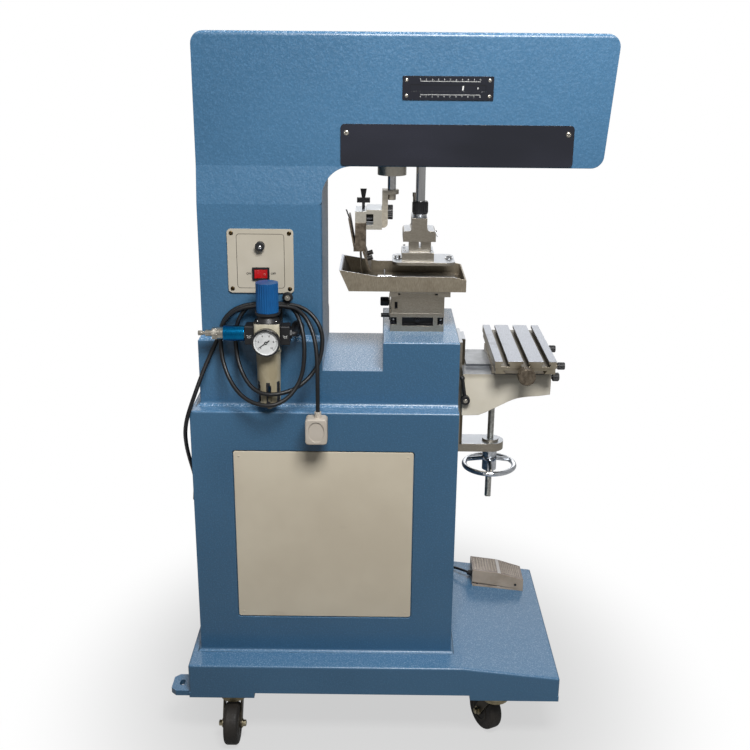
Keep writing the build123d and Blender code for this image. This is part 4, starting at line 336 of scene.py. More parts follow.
def kneePaint(grease=(0.655, 0.6655), ragged=0.006, steelFrom=0.6636):
    # cream enamel of the knee, with a darker ragged band just under its bare top, and a painted highlight along
    # its edges
    enamel = Finish("kneePaint", Coat_Weight=0.3, Coat_Roughness=0.15)
    cloud = enamel.noise(12, 3.0)
    height = enamel.axes()[2]
    colour = enamel.blend(cloud, (222, 214, 196), (236, 229, 213), 0.3)
    colour = enamel.stain(colour, height + enamel.noise(60, 2.0) * ragged, *grease, 0.55, (140, 130, 112))
    colour = enamel.worn(colour, 0.0012, 0.4, (248, 244, 234))
    bare = enamel.blend(cloud, (120, 122, 126), (168, 172, 178), 0.3)
    colour = enamel.mix(height > steelFrom, colour, bare)
    enamel.keep(colour, enamel.noise(180, 1.5), (0.3, 0.42), 0.0012, 0.00025)


def blackPlate():
    # glossy printed plate: near black, faint haze and dust
    plate = Finish("blackPlate", Coat_Weight=1.0, Coat_Roughness=0.03)
    haze = plate.noise(6, 3.0, 0.55, (0.4, 1, 1))
    colour = plate.blend(haze, (10, 13, 26), (24, 26, 40), 0.4)
    colour = plate.stain(colour, plate.noise(900, 1.0), 0.7, 0.8, 0.12, (90, 94, 110))
    plate.keep(colour, haze, (0.12, 0.3), 0.0005)


def regulatorShell(bonnet=(0.7742, 0.7748), body=(-0.2005, -0.1595)):
    # one casting in two tones: cream body, black bonnet on top and black port blocks at the sides; a painted
    # highlight along its edges
    shell = Finish("regulatorShell", Coat_Weight=0.15)
    across, deep, high = shell.axes()
    black = shell.soften(high, *bonnet) + (1 - within(across, *body))
    colour = shell.parted(black, shell.noise(60, 3.0), ((196, 188, 164), (222, 215, 194)),
                          ((24, 24, 24), (38, 38, 38)))
    colour = shell.worn(colour, 0.0008, 0.3, (236, 230, 214))
    shell.keep(colour, shell.noise(500, 2.0), (0.35, 0.5), 0.0008, 0.00006)


# painted shade in the guard's slots
bowlSlots = tuple(((left, -1, 0.6380), (right, -0.146, 0.6755))
                  for left, right in ((-0.1832, -0.1768), (-0.1976, -0.1937), (-0.1663, -0.1624)))


def bowlCream():
    # guard of the bowl: cream, with smudges, painted shade in its slots and a painted highlight along its edges
    guard = Finish("bowlCream", Coat_Weight=0.1)
    cloud = guard.noise(40, 4.0, 0.6, (1, 1, 0.5))
    smear = guard.noise(95, 3.0, 0.6, (1.4, 1.4, 0.35))
    colour = guard.blend(cloud, (164, 152, 124), (190, 180, 154))
    colour = guard.stain(colour, smear, 0.56, 0.72, 0.5, (150, 138, 112))
    colour = guard.worn(colour, 0.0008, 0.4, (240, 234, 216))
    guard.keep(guard.mix(guard.inside(*bowlSlots), colour, (34, 34, 38)), cloud, (0.4, 0.55), 0.0006)


def inkySteel(inner=((-0.0645, -0.0614, 0.8055), (0.1418, 0.0614, 1)), rim=0.829):
    # tray: bright folded sheet outside, stained with old ink inside, with a painted reflection of the light above
    # on the level faces over its rim
    tray = Finish("inkySteel", Metallic=0.85)
    brushed = tray.noise(160, 3.0, 0.6, (7, 1, 1))
    patch = tray.noise(30, 4.0, 0.6)
    steel = tray.blend(brushed, (152, 141, 122), (176, 165, 146), 0.3)
    steel = tray.stain(steel, patch, 0.55, 0.72, 0.2, (122, 110, 92))
    # level faces over the rim: painted reflection of the light above
    steel = tray.stain(steel, tray.facing()[2], 0.6, 0.95, tray.axes()[2] > rim, (220, 226, 236))
    ink = tray.blend(patch, (30, 28, 27), (66, 61, 57), 0.35, 0.65)
    colour = tray.mix(tray.inside(inner) * 0.9, steel, ink)
    tray.keep(colour, brushed, (0.34, 0.5), 0.0006, 0.00004, spread=0.25)


def tableSteel(level=(0.6988, 0.6996), slots=((0.2, -0.1118, 0.6898), (0.289, 0.1118, 0.6990))):
    # planed table: fine lines along the slots, painted shade inside them, and a paler, bluer top than its sides as
    # a painted reflection of the light above
    table = Finish("tableSteel", Metallic=0.9)
    lines = table.noise(150, 3.0, 0.6, (9, 0.5, 1))
    patch = table.noise(25, 4.0, 0.6)
    top = table.blend(lines, (172, 176, 184), (206, 210, 218), 0.3)
    top = table.stain(top, patch, 0.55, 0.75, 0.4, (140, 142, 148))
    rim = table.blend(patch, (164, 154, 134), (186, 176, 156), 0.4)
    # a paler, bluer top than its sides: painted reflection of the light above
    colour = table.mix(table.soften(table.axes()[2], *level), rim, top)
    # painted shade in the slots
    groove = table.inside(slots) * (abs(table.facing()[1]) < 0.5)
    colour = table.mix(groove * 0.6, colour, (58, 54, 50))
    table.keep(colour, lines, (0.28, 0.45), 0.0006, 0.00005, spread=0.25)


def pedalTan(fold=(0.2438, 0.2502)):
    # painted pressing: tan sides, a greyer level top darkened as painted shade between its bumps, a pale band
    # along its fold, and a painted highlight along its edges
    pressing = Finish("pedalTan")
    up = pressing.soften(pressing.facing()[2], 0.4, 0.8)
    colour = pressing.parted(up, pressing.noise(35, 3.0), ((176, 158, 138), (194, 176, 156)),
                             ((150, 137, 128), (174, 162, 154)))
    colour = pressing.mix(within(pressing.axes()[0], *fold) * up * 0.8, colour, (222, 219, 216))
    colour = pressing.worn(colour, 0.0008, 0.4, (214, 205, 192))
    pressing.keep(colour, pressing.noise(700, 2.0), (0.45, 0.6), 0.0008, 0.0001)


def gaugeFace(middle=(-0.180, 0.7475), radius=0.0196, face=-0.1779):
    # black case with a white dial in it
    gauge = Finish("gaugeFace", Coat_Weight=0.6, Coat_Roughness=0.05)
    across, deep, high = gauge.axes()
    aside, up = across - middle[0], high - middle[1]
    dial = (aside * aside + up * up < radius ** 2) * (deep < face)
    cloud = gauge.noise(80, 2.0)
    colour = gauge.parted(dial, cloud, ((20, 20, 22), (32, 32, 34)), ((216, 217, 216), (232, 233, 232)))
    gauge.keep(colour, cloud, (0.25, 0.4), 0.0006)


def castorFinish(race=(0.076, 0.079)):
    # dark plated fork with the yellow zinc race above it, and a painted highlight along its edges
    castor = Finish("castorFinish", Metallic=0.85)
    cloud = castor.noise(40, 3.0)
    colour = castor.parted(castor.soften(castor.axes()[2], *race), cloud, ((52, 48, 42), (92, 85, 74)),
                           ((126, 115, 90), (184, 172, 142)))
    castor.keep(castor.worn(colour, 0.0008, 0.5, (190, 176, 140)), cloud, (0.25, 0.42), 0.0006)


for finish in (beigePanel, panelSheet, stageSteel, kneePaint, blackPlate, regulatorShell, bowlCream, inkySteel,
               tableSteel, pedalTan, gaugeFace, castorFinish):
    finish()
print("finishes:", len(looks), "in all")

nodeLooks = {
    "castPaint": "head_casting base_block",
    "sheetPaint": "cabinet plinth",
    "beigePanel": "cabinet_door",
    "panelSheet": "control_panel",
    "padRod": "pad_ram",
    "blackPlate": "head_plates",
    "blackPlastic": "panel_fittings outlet_elbow clamp_lever cable_fittings regulator_trim",
    "redPlastic": "rocker_switch",
    "bluePlastic": "regulator_knob",
    "regulatorShell": "regulator_body",
    "bowlCream": "bowl_guard",
    "gaugeFace": "pressure_gauge",
    "markBlack": "gauge_needle",
    "anodisedBlue": "valve_sleeve",
    "nickel": "slide_valve",
    "stageSteel": "stage_base cross_slide",
    "groundSteel": "upper_slide pad_clamp knee_rail pad_mount",
    "saddleSteel": "saddle",
    "ramSteel": "doctor_ram",
    "inkySteel": "ink_tray",
    "plateSteel": "printing_plate",
    "tableSteel": "work_table",
    "aluminium": "doctor_holder carriage",
    "knobGrey": "table_knob doctor_blades",
    "screwBlack": "stage_knob saddle_knob doctor_knobs front_fixings",
    "innerMetal": "arm_drive valve_manifold",
    "brightSteel": "lift_screw",
    "chrome": "handwheel",
    "kneePaint": "knee",
    "pedalTan": "pedal_treadle pedal_base",
    "plugGrey": "power_plug",
    "cordBlack": "power_cord pedal_cable",
}
lookOf = {name: look for look, names in nodeLooks.items() for name in names.split()}
for name, piece in nodes.items():
    if name.startswith("castor"):
        lookOf[name] = "tyre" if name.startswith("castor_wheel") else "castorFinish"
    piece.data.materials.clear()
    piece.data.materials.append(looks[lookOf[name]])
print("nodes: finishes given")

cameraSet = {"focal": 49.272, "place": (0, -1.739, 1.218), "pitch": 18.5, "yaw": -0.229, "roll": 0.52}


def addCamera(values):
    lens = bpy.data.cameras.new("camera")
    lens.sensor_width = 36
    lens.lens = values["focal"]
    lens.clip_start = 0.05
    camera = placed("camera", lens)
    pitch, yaw, roll = (math.radians(values[k]) for k in ("pitch", "yaw", "roll"))
    ahead = Vector((math.sin(yaw) * math.cos(pitch), math.cos(yaw) * math.cos(pitch), -math.sin(pitch)))
    across = Vector((math.cos(yaw), -math.sin(yaw), 0))
    down = ahead.cross(across)
    pictureRight = across * math.cos(roll) - down * math.sin(roll)
    pictureDown = across * math.sin(roll) + down * math.cos(roll)
    turn = Matrix((pictureRight, -pictureDown, -ahead)).transposed().to_4x4()
    camera.matrix_world = Matrix.Translation(values["place"]) @ turn
    bpy.context.scene.camera = camera


lamps = {
    "top": {"place": (0.22, -1.2, 2.0), "aim": (0.1, -0.05, 1.0), "size": (0.7, 0.5), "power": 33},
    "front": {"place": (0.9, -3.0, 1.9), "aim": (0, 0, 0.8), "size": (2.2, 1.6), "power": 1.5},
    "behind": {"place": (0.2, 2.6, 1.5), "aim": (0, 0, 0.8), "size": (3.0, 1.0), "power": 11},
}


def addLamp(name, values):
    light = bpy.data.lights.new(name, "AREA")
    light.shape = "RECTANGLE"
    light.size, light.size_y = values["size"]
    light.energy = values["power"]
    holder = placed(name, light)
    holder.location = values["place"]
    way = Vector(values["aim"]) - Vector(values["place"])
    holder.rotation_euler = way.to_track_quat("-Z", "Y").to_euler()


floorSet = {"half": 6.0, "tone": tone(150, 150, 149), "near": 0.32, "far": 0.8, "shadow": 0.6, "mirror": 0.3,
            "oval": 1.3}
worldSet = {"above": 0.12, "below": 0.03, "from": -0.3, "to": 0.6, "mirror": 0.3, "tint": (0.95, 0.975, 1, 1)}


def seenRays(board, mirror):
    # 1 for the camera's rays, and the mirror's share for reflected ones
    rays = board.parts(board.node("LightPath"))
    return rays["Is Camera Ray"].most(rays["Is Glossy Ray"] * mirror).most(rays["Is Transmission Ray"])


def addFloor(values):
    # white where the camera looks, but for a soft shadow near the machine
    half = values["half"]
    mesh = bpy.data.meshes.new("floor")
    spots = [(-half, -half, 0), (half, -half, 0), (half, half, 0), (-half, half, 0)]
    mesh.from_pydata(spots, [], [(0, 1, 2, 3)])
    floor = placed("floor", mesh)
    pale = Finish("paleFloor", Roughness=0.7, Base_Color=values["tone"], Specular_IOR_Level=0.1)
    seen = seenRays(pale, values["mirror"])
    across, deep, high = pale.axes()
    spread = (across * across * values["oval"] + deep * deep).root()
    fade = pale.soften(spread, values["near"], values["far"], values["shadow"], 1.0)
    glow = pale.node("Emission", None, {"Color": (1, 1, 1, 1), "Strength": 1.0})
    shaded = Wire(pale.tree, pale.shader.outputs[0])
    surface = pale.node("MixShader", None, {0: seen * fade, 1: shaded, 2: glow})
    plugIn(pale.tree, pale.tree.nodes["Material Output"].inputs[0], surface)
    mesh.materials.append(pale.material)


def addWorld(values):
    # light from above is stronger than from below; the camera sees white, and reflections a share of it
    world = bpy.data.worlds.new("studio")
    bpy.context.scene.world = world
    world.use_nodes = True
    sky = Board(world.node_tree)
    up = sky.split(sky.node("TexCoord", out="Generated"))[2]
    level = sky.soften(up, values["from"], values["to"], values["below"], values["above"])
    light = sky.node("Background", None, {"Color": values["tint"], "Strength": level})
    white = sky.node("Background", None, {"Color": (1, 1, 1, 1), "Strength": 1.0})
    surface = sky.node("MixShader", None, {0: seenRays(sky, values["mirror"]), 1: light, 2: white})
    plugIn(sky.tree, sky.tree.nodes["World Output"].inputs[0], surface)


addCamera(cameraSet)
addFloor(floorSet)
addWorld(worldSet)
for name, values in lamps.items():
    addLamp(name, values)
print("studio: camera, floor and lamps stand")

powerCordSet = {"diameter": 0.007, "length": 1.66, "fullness": 1.035, "perQuarter": 3}
pedalCableSet = {"diameter": 0.005, "length": 1.35, "fullness": 1.03}


def metres(points):
    return [tuple(v / 1000 for v in p) for p in points]


def quarter(start, end, leave, fullness, steps=3):
    # control points of a quarter turn that leaves start along one axis and reaches end across it
    start, end, leave = Vector(start), Vector(end), Vector(leave)
    along = leave * (end - start).dot(leave)
    aside = (end - start) - along
    points = []
    for step in range(1, steps):
        turn = math.pi / 2 * step / steps
        spot = start + aside + (along * math.sin(turn) - aside * math.cos(turn)) * fullness
        spot.y = start.y + (end.y - start.y) * math.sin(turn) ** 2
        points.append(tuple(spot))
    return points + [tuple(end)]


def cordCurve(name, points, radius):
    curve = bpy.data.curves.new(name, "CURVE")
    curve.dimensions = "3D"
    line = curve.splines.new("NURBS")
    line.points.add(len(points) - 1)
    for spot, place in zip(line.points, points):
        spot.co = (*place, 1)
    line.order_u = 3
    line.use_endpoint_u = True
    line.resolution_u = 8
    curve.bevel_depth = radius
    curve.bevel_resolution = 4
    curve.use_fill_caps = True
    curve.materials.append(looks["cordBlack"])
    return placed(name, curve)


def powerCordPoints(values):
    lead = [(-326, -60, 442), (-326, -60, 462), (-329, -74, 492), (-330, -92, 520), (-328, -115, 547),
            (-324, -140, 580), (-316, -154, 612), (-303, -150, 648), (-290, -134, 684), (-277, -121, 713),
            (-262, -115, 745)]
    tail = [(-146, -122.3, 793.8), (-124, -136, 786), (-111, -149, 769), (-103, -160, 747), (-99.5, -169, 722),
            (-98.5, -176, 695), (-98.5, -178.5, 662), (-98.5, -178.5, 632)]
    loops = (((-91, -133, 735), (-178, -174, 656), (-237, -122, 736)),
             ((-119.5, -158, 720), (-182, -188, 642), (-262, -125, 738)))
    full, steps = values["fullness"], values["perQuarter"]
    points = list(lead)
    right, down = (1, 0, 0), (0, 0, -1)
    arrive = lead[-1]
    for turn, (rightSpot, lowSpot, leftSpot) in enumerate(loops):
        deep = -106.5 - turn * 7.9
        points += quarter(arrive, (-200, deep, 793.8), (0, 0, 1), full, steps)
        points.append((-152, deep, 793.8))
        points += quarter((-152, deep, 793.8), rightSpot, right, full, steps)
        points += quarter(rightSpot, lowSpot, down, full, steps)
        points += quarter(lowSpot, leftSpot, (-1, 0, 0), full, steps)
        arrive = leftSpot
    points += quarter(arrive, (-200, -122.3, 793.8), (0, 0, 1), full, steps)
    return metres(points + tail)


def pedalCablePoints(values):
    lead = [(186, 122.5, 173), (170, 131.5, 175), (153, 150, 170), (126, 155.1, 163.8), (84, 155.1, 163.8)]
    near, far, low, rise = 155.1, 191.5, 163.8, 5.6
    left, right = -52, 40
    points = list(lead)
    deep, high, end = near, low, left
    for step, half in enumerate((18.2, 15.4, 15.4, 18.2, 18.2, 15.4, 15.4)):
        high += rise if step in (2, 4, 6) else 0
        goes = -1 if step % 2 == 0 else 1
        across = 2 * half * -goes
        full = values["fullness"]
        points.append((end, deep, high))
        for turn in (30, 60, 90, 120, 150):
            swing = math.radians(turn)
            points.append((end + goes * half * full * math.sin(swing),
                           deep + across / 2 - across / 2 * full * math.cos(swing), high))
        deep += across
        points.append((end, deep, high))
        end = right if end == left else left
    points += [(40, far, high), (66, far, high), (87, 180, 199), (93, 166, 224), (93, 166, 250)]
    return metres(points)


powerCord = cordCurve("powerCord", powerCordPoints(powerCordSet), powerCordSet["diameter"] / 2)
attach(powerCord, "frame")
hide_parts("power_cord")
pedalCable = cordCurve("pedalCable", pedalCablePoints(pedalCableSet), pedalCableSet["diameter"] / 2)
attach(pedalCable, "frame")
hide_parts("pedal_cable")
print("cords: laid")

bodyOf = {name: body for body, members in frame["record"]["behaviour"]["bodies"].items() for name in members}


class Growth(Board):
    # a Geometry Nodes tree that sets one shape on every point of a mesh of places
    prefix = "GeometryNode"

    def __init__(self, shape, sizes):
        super().__init__(bpy.data.node_groups.new(shape.__name__, "GeometryNodeTree"))
        self.sizes = sizes
        inputs = {"Places": "Geometry", "Finish": "Material", "Seed": "Int"}
        inputs.update((label, "Int" if isinstance(value, int) else "Float") for label, value in sizes.items())
        for label, kind in inputs.items():
            self.tree.interface.new_socket(label, in_out="INPUT", socket_type="NodeSocket" + kind)
        self.tree.interface.new_socket("Geometry", in_out="OUTPUT", socket_type="NodeSocketGeometry")
        self.given = self.parts(self.node("NodeGroupInput"))
        turn = self.node("FunctionNodeEulerToRotation", None, {0: self.stored("turn")})
        kind = {"data_type": "FLOAT"}
        spin = self.node("FunctionNodeRandomValue", kind, {3: 1.0, 8: self.given["Seed"]}, out=1)
        spin = spin * self.stored("loose")
        about = self.node("FunctionNodeAxisAngleToRotation", None, {0: (0, 0, 1), 1: spin})
        turn = self.node("FunctionNodeRotateRotation", {"rotation_space": "LOCAL"}, {0: turn, 1: about})
        copies = self.node("InstanceOnPoints", None, {"Points": self.given["Places"], "Instance": shape(self),
                                                      "Rotation": turn, "Scale": self.stored("size")})
        real = self.node("RealizeInstances", None, {"Geometry": copies})
        done = self.node("SetMaterial", None, {"Geometry": real, "Material": self.given["Finish"]})
        self.node("NodeGroupOutput", None, {"Geometry": done})

    def stored(self, name):
        kind = "FLOAT" if name == "loose" else "FLOAT_VECTOR"
        return self.node("InputNamedAttribute", {"data_type": kind}, {"Name": name})

    def moved(self, geometry, place=(0, 0, 0), turn=(0, 0, 0), size=(1, 1, 1)):
        return self.node("Transform", None, {
            "Geometry": geometry, "Translation": place, "Rotation": turn, "Scale": size})

    def gathered(self, kind, settings, socket, shapes):
        # a node that takes any number of shapes on one socket
        made = self.node(kind, settings)
        for shape in shapes:
            plugIn(self.tree, made.socket.node.inputs[socket], shape)
        return made

    def joined(self, *shapes):
        return self.gathered("JoinGeometry", None, 0, shapes)

    def less(self, whole, *cuts):
        made = self.gathered("MeshBoolean", {"operation": "DIFFERENCE", "solver": "EXACT"}, 1, cuts)
        plugIn(self.tree, made.socket.node.inputs[0], whole)
        return made

    def cube(self, size):
        return self.node("MeshCube", None, {"Size": size})

    def cylinder(self, sides, radius, depth, place=(0, 0, 0)):
        made = self.node("MeshCylinder", None, {"Vertices": sides, "Radius": radius, "Depth": depth})
        return self.moved(made, place)

    def grow(self, places, look, seed=3):
        # places: (point, turn, size, how freely it may spin)
        mesh = bpy.data.meshes.new("places")
        mesh.from_pydata([place[0] for place in places], [], [])
        for column, label in enumerate(("turn", "size", "loose"), 1):
            kind, field = ("FLOAT", "value") if label == "loose" else ("FLOAT_VECTOR", "vector")
            layer = mesh.attributes.new(label, kind, "POINT")
            for row, place in zip(layer.data, places):
                setattr(row, field, place[column])
        holder = placed("holder", mesh)
        modifier = holder.modifiers.new("grow", "NODES")
        modifier.node_group = self.tree
        for item in self.tree.interface.items_tree:
            if item.in_out == "INPUT" and item.name != "Places":
                modifier[item.identifier] = {"Finish": look, "Seed": seed, **self.sizes}[item.name]
        return plainMesh(holder)


def plainMesh(holder):
    # the finished mesh of an object, which is then removed
    bpy.context.view_layer.update()
    mesh = bpy.data.meshes.new_from_object(holder.evaluated_get(bpy.context.evaluated_depsgraph_get()))
    holder.modifiers.clear()
    bpy.data.objects.remove(holder)
    return mesh


def crossHead(tree):
    # domed head with a cross recess, looking along +Z
    ball = tree.node("MeshUVSphere", None, {"Segments": 20, "Rings": 12, "Radius": 1.0})
    cuts = [tree.moved(tree.cube((1.15, 0.27, 0.5)), (0, 0, 0.42), (0, 0, turn)) for turn in (0, math.pi / 2)]
    return tree.less(tree.moved(ball, size=(1, 1, 0.46)), *cuts)


def socketHead(tree):
    # cap screw with a six-sided socket
    cap = tree.cylinder(28, 1.0, 1.0, (0, 0, 0.5))
    rim = tree.cylinder(28, 0.88, 0.14, (0, 0, 1.04))
    return tree.less(tree.joined(cap, rim), tree.cylinder(6, 0.5, 0.8, (0, 0, 0.95)))


def hexHead(tree):
    # six-sided head with a turned crown, on its washer
    washer = tree.cylinder(28, 1.35, 0.2, (0, 0, 0.1))
    head = tree.cylinder(6, 1.0, 0.7, (0, 0, 0.55))
    sizes = {"Vertices": 28, "Radius Top": 0.62, "Radius Bottom": 0.86, "Depth": 0.1}
    crown = tree.node("MeshCone", None, sizes)
    return tree.joined(washer, head, tree.moved(crown, (0, 0, 0.9)))


def bar(tree):
    return tree.cube((1, 1, 1))


def bump(tree):
    ball = tree.node("MeshIcoSphere", None, {"Radius": 1.0, "Subdivisions": 2})
    return tree.moved(ball, size=(1, 1, 0.55))


def rib(tree):
    return tree.cylinder(6, 1.0, 1.0)


growths = {shape: Growth(shape, {}) for shape in (crossHead, socketHead, hexHead, bar, bump, rib)}
forward, upward, sideward = (0, -1, 0), (0, 0, 1), (1, 0, 0)
markOut, markThick = 0.00005, 0.0002


def standing(facing, place=(0, 0, 0)):
    # takes +Z to the facing, and the origin to the place
    return Matrix.Translation(place) @ Vector(facing).to_track_quat("Z", "Y").to_matrix().to_4x4()


def aim(facing, spin=0.0):
    # a turn to the facing after a spin about +Z
    return tuple((standing(facing).to_3x3() @ Matrix.Rotation(spin, 3, "Z")).to_euler())


def grown(shape, places, look):
    return growths[shape].grow(places, looks[look])


def screws(shape, spots, facing, size, look, loose=6.0):
    # one shape on every spot, spun at random; a size is one number, or one for each axis
    size = size if isinstance(size, tuple) else (size,) * 3
    return grown(shape, [(spot, aim(facing), size, loose) for spot in spots], look)


def corners(middle, wide, high, inset):
    across, up = wide / 2 - inset, high / 2 - inset
    return [(middle[0] + a * across, middle[1], middle[2] + b * up) for a in (-1, 1) for b in (-1, 1)]


def put(name, body, meshes, slot, *replaced):
    # joins plain meshes into one piece of the object and lets it ride
    work = bmesh.new()
    looksUsed = []
    for mesh in meshes:
        start = len(work.faces)
        work.from_mesh(mesh)
        work.faces.ensure_lookup_table()
        for face in work.faces[start:]:
            look = mesh.materials[face.material_index]
            if look not in looksUsed:
                looksUsed.append(look)
            face.material_index = looksUsed.index(look)
            face.smooth = True
    for edge in work.edges:
        edge.smooth = edge.calc_face_angle(0) < 0.6
    mesh = closed(work, *looksUsed)
    mesh.name = name
    piece = placed(name, mesh)
    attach(piece, body)
    if replaced:
        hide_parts(*replaced)


def closed(work, *used):
    mesh = bpy.data.meshes.new("shape")
    work.to_mesh(mesh)
    work.free()
    for look in used:
        mesh.materials.append(look)
    return mesh


def turned(profile, place, facing, look, steps=32):
    # a lathe shape: radius and height pairs turned about the facing
    work = bmesh.new()
    rings = []
    for radius, height in profile:
        turns = [k * math.tau / steps for k in range(steps)]
        rings.append([work.verts.new((radius * math.cos(t), radius * math.sin(t), height)) for t in turns])
    for low, high in zip(rings, rings[1:]):
        for k in range(steps):
            follow = (k + 1) % steps
            work.faces.new((low[k], low[follow], high[follow], high[k]))
    work.faces.new(list(reversed(rings[0])))
    work.faces.new(rings[-1])
    bmesh.ops.recalc_face_normals(work, faces=work.faces)
    work.transform(standing(facing, place))
    return closed(work, looks[look])


def block(low, high, round, look, turn=None):
    # bevelled bar between two corners
    low, high = Vector(low), Vector(high)
    work = bmesh.new()
    bmesh.ops.create_cube(work, size=1.0)
    work.transform(Matrix.Diagonal((*(high - low), 1)))
    bmesh.ops.bevel(work, geom=work.edges[:], offset=round, segments=2, affect="EDGES")
    if turn:
        work.transform(turn)
    work.transform(Matrix.Translation((low + high) / 2))
    return closed(work, looks[look])


def lettered(words, place, size, look, facing=forward):
    # generic marks and numerals only, as a thin mesh standing on a face
    curve = bpy.data.curves.new("marks", "FONT")
    curve.body = words
    curve.size = size
    curve.align_x = "CENTER"
    curve.align_y = "CENTER"
    curve.extrude = 0.00012
    curve.offset = size * 0.018
    curve.resolution_u = 3
    mesh = plainMesh(placed("marks", curve))
    mesh.transform(standing(facing, place))
    mesh.materials.clear()
    mesh.materials.append(looks[look])
    return mesh


surfaces = {}
farOff = 2.0


def meet(node, spot, way):
    # where a line through the spot first meets the node, and the way the surface faces there
    if node not in surfaces:
        surfaces[node] = BVHTree.FromObject(nodes[node], bpy.context.evaluated_depsgraph_get())
    return surfaces[node].ray_cast(Vector(spot) - Vector(way) * farOff, Vector(way))[:2]


# screws of the front faces: nickel on both plates, bronzed on the panel, painted on the door
screwSet = {"wideIn": 0.009, "wideUp": 0.0505, "wideHead": 0.0044, "panelIn": 0.0068, "panelHead": 0.0036,
            "doorIn": 0.009, "doorHead": 0.0018, "scaleIn": 0.0062, "scaleHead": 0.003}
boltSet = {"x": -0.150, "up": 0.075, "out": 0.012, "radius": 0.003, "head": (0.0052, 0.0052, 0.004),
           "washer": ((0.0088, 0), (0.0088, 0.0012), (0.008, 0.0016))}
scalePlate = {"left": 0.096, "wide": 0.141, "high": 0.036, "thick": 0.001}
plateLow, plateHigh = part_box("head_plates")
panelLow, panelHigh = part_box("control_panel")
scaleMid = Vector((plateLow.x + scalePlate["left"] + scalePlate["wide"] / 2, plateLow.y + scalePlate["thick"],
                   plateHigh.z - scalePlate["high"] / 2))


def frontCorners(low, high, inset):
    middle = (low + high) / 2
    return corners((middle.x, low.y, middle.z), high.x - low.x, high.z - low.z, inset)


def frontScrews(values):
    wideZ = plateLow.z + values["wideUp"]
    wide = [(x, plateLow.y, wideZ) for x in (plateLow.x + values["wideIn"], plateHigh.x - values["wideIn"])]
    scale = corners(scaleMid, scalePlate["wide"], scalePlate["high"], values["scaleIn"])
    panel = frontCorners(panelLow, panelHigh, values["panelIn"])
    door = frontCorners(*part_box("cabinet_door"), values["doorIn"])
    return [screws(crossHead, wide, forward, values["wideHead"], "nickel"),
            screws(crossHead, scale, forward, values["scaleHead"], "nickel"),
            screws(crossHead, panel, forward, values["panelHead"], "bronze"),
            screws(crossHead, door, forward, values["doorHead"], "beigePanel")]


def hangBolt(values):
    # bolt with its washer, from which the cord hangs
    foot = Vector((values["x"], panelHigh.y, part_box("stage_base")[0].z + values["up"]))
    end = foot - Vector((0, values["out"], 0))
    behind = end + Vector((0, values["washer"][-1][1], 0))
    shank = [(values["radius"], 0), (values["radius"], values["out"])]
    return [turned(shank, foot, forward, "screwBlack", 16),
            turned(values["washer"], behind, forward, "blackPlastic"),
            screws(socketHead, [end], forward, values["head"], "nickel", 0)]


put("frontScrews", "frame", frontScrews(screwSet) + hangBolt(boltSet), "screw_black", "front_fixings")

# printed scale: two ruled lines with ticks, generic numerals, and the two light marks in its slot
scaleSet = {"ruleFrom": -0.043, "ruleTo": 0.0493, "ruleUp": 0.0098, "steps": 50, "shortTick": 0.0011,
            "longTick": 0.0018, "line": 0.00045, "tickWide": 0.00035, "numeral": 0.0026}
slotSet = {"wide": 0.117, "high": 0.010, "deep": 0.0006, "markDeep": (0.0016, 0.0004), "lean": 5,
           "marks": ((0.1255, 0.0068, 0.0022), (0.1485, 0.003, 0.00132))}


def scaleMarks(values):
    face = scaleMid.y - markOut
    long = values["ruleTo"] - values["ruleFrom"]
    middle = scaleMid.x + (values["ruleFrom"] + values["ruleTo"]) / 2
    turn = aim(forward)
    bars, marks = [], []
    for way in (-1, 1):
        ruleZ = scaleMid.z + way * values["ruleUp"]
        bars.append(((middle, face, ruleZ), turn, (long, values["line"], markThick), 0))
        for step in range(values["steps"] + 1):
            x = scaleMid.x + values["ruleFrom"] + long * step / values["steps"]
            high = values["longTick"] if step % 5 == 0 else values["shortTick"]
            bars.append(((x, face, ruleZ + way * high / 2), turn, (values["tickWide"], high, markThick), 0))
            if step % 5 == 0:
                spot = (x, face, ruleZ + way * (values["longTick"] + values["numeral"] * 0.5))
                marks.append(lettered(str(step // 5), spot, values["numeral"], "markWhite"))
    return marks + [grown(bar, bars, "markWhite")]


def slotMarks(values):
    # dark bottom of the slot, and two light marks that lean in it
    back = plateHigh.y
    wide, high = values["wide"] / 2, values["high"] / 2
    marks = [block((scaleMid.x - wide, back - values["deep"], scaleMid.z - high),
                   (scaleMid.x + wide, back, scaleMid.z + high), 0.0001, "blackPlate")]
    lean = Matrix.Rotation(math.radians(values["lean"]), 4, "Y")
    near, far = values["markDeep"]
    for x, high, wide in values["marks"]:
        marks.append(block((x - wide / 2, back - near, scaleMid.z - high / 2),
                           (x + wide / 2, back - far, scaleMid.z + high / 2), 0.0002, "markWhite", lean))
    return marks


put("scaleMarks", "frame", scaleMarks(scaleSet) + slotMarks(slotSet), "screw_black")

# panel: generic switch marks, and the bright end of the fuse in its cap
panelSet = {"word": 0.0048, "wordOut": 0.0200, "fuseDrop": 0.0087, "fuseIn": 0.0003, "fuseDot": 0.003,
            "rockerMark": 0.0045, "rockerIn": 0.0042,
            "rocker": (("O", 1, 0.0008, 0.28), ("I", -1, 0.0016, -0.05))}
switchLow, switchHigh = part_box("rocker_switch")
switchMid = (switchLow + switchHigh) / 2


def panelMarks(values):
    face = panelLow.y - markOut
    spots = [(switchMid.x + way * values["wordOut"], face, switchMid.z) for way in (-1, 1)]
    marks = [lettered(word, spot, values["word"], "markBlack") for word, spot in zip(("ON", "OFF"), spots)]
    capLow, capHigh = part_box("panel_fittings")
    fuse = (switchMid.x, capLow.y + values["fuseIn"], capHigh.z - values["fuseDrop"])
    return marks + [screws(crossHead, [fuse], forward, values["fuseDot"], "brightSteel", 0)]


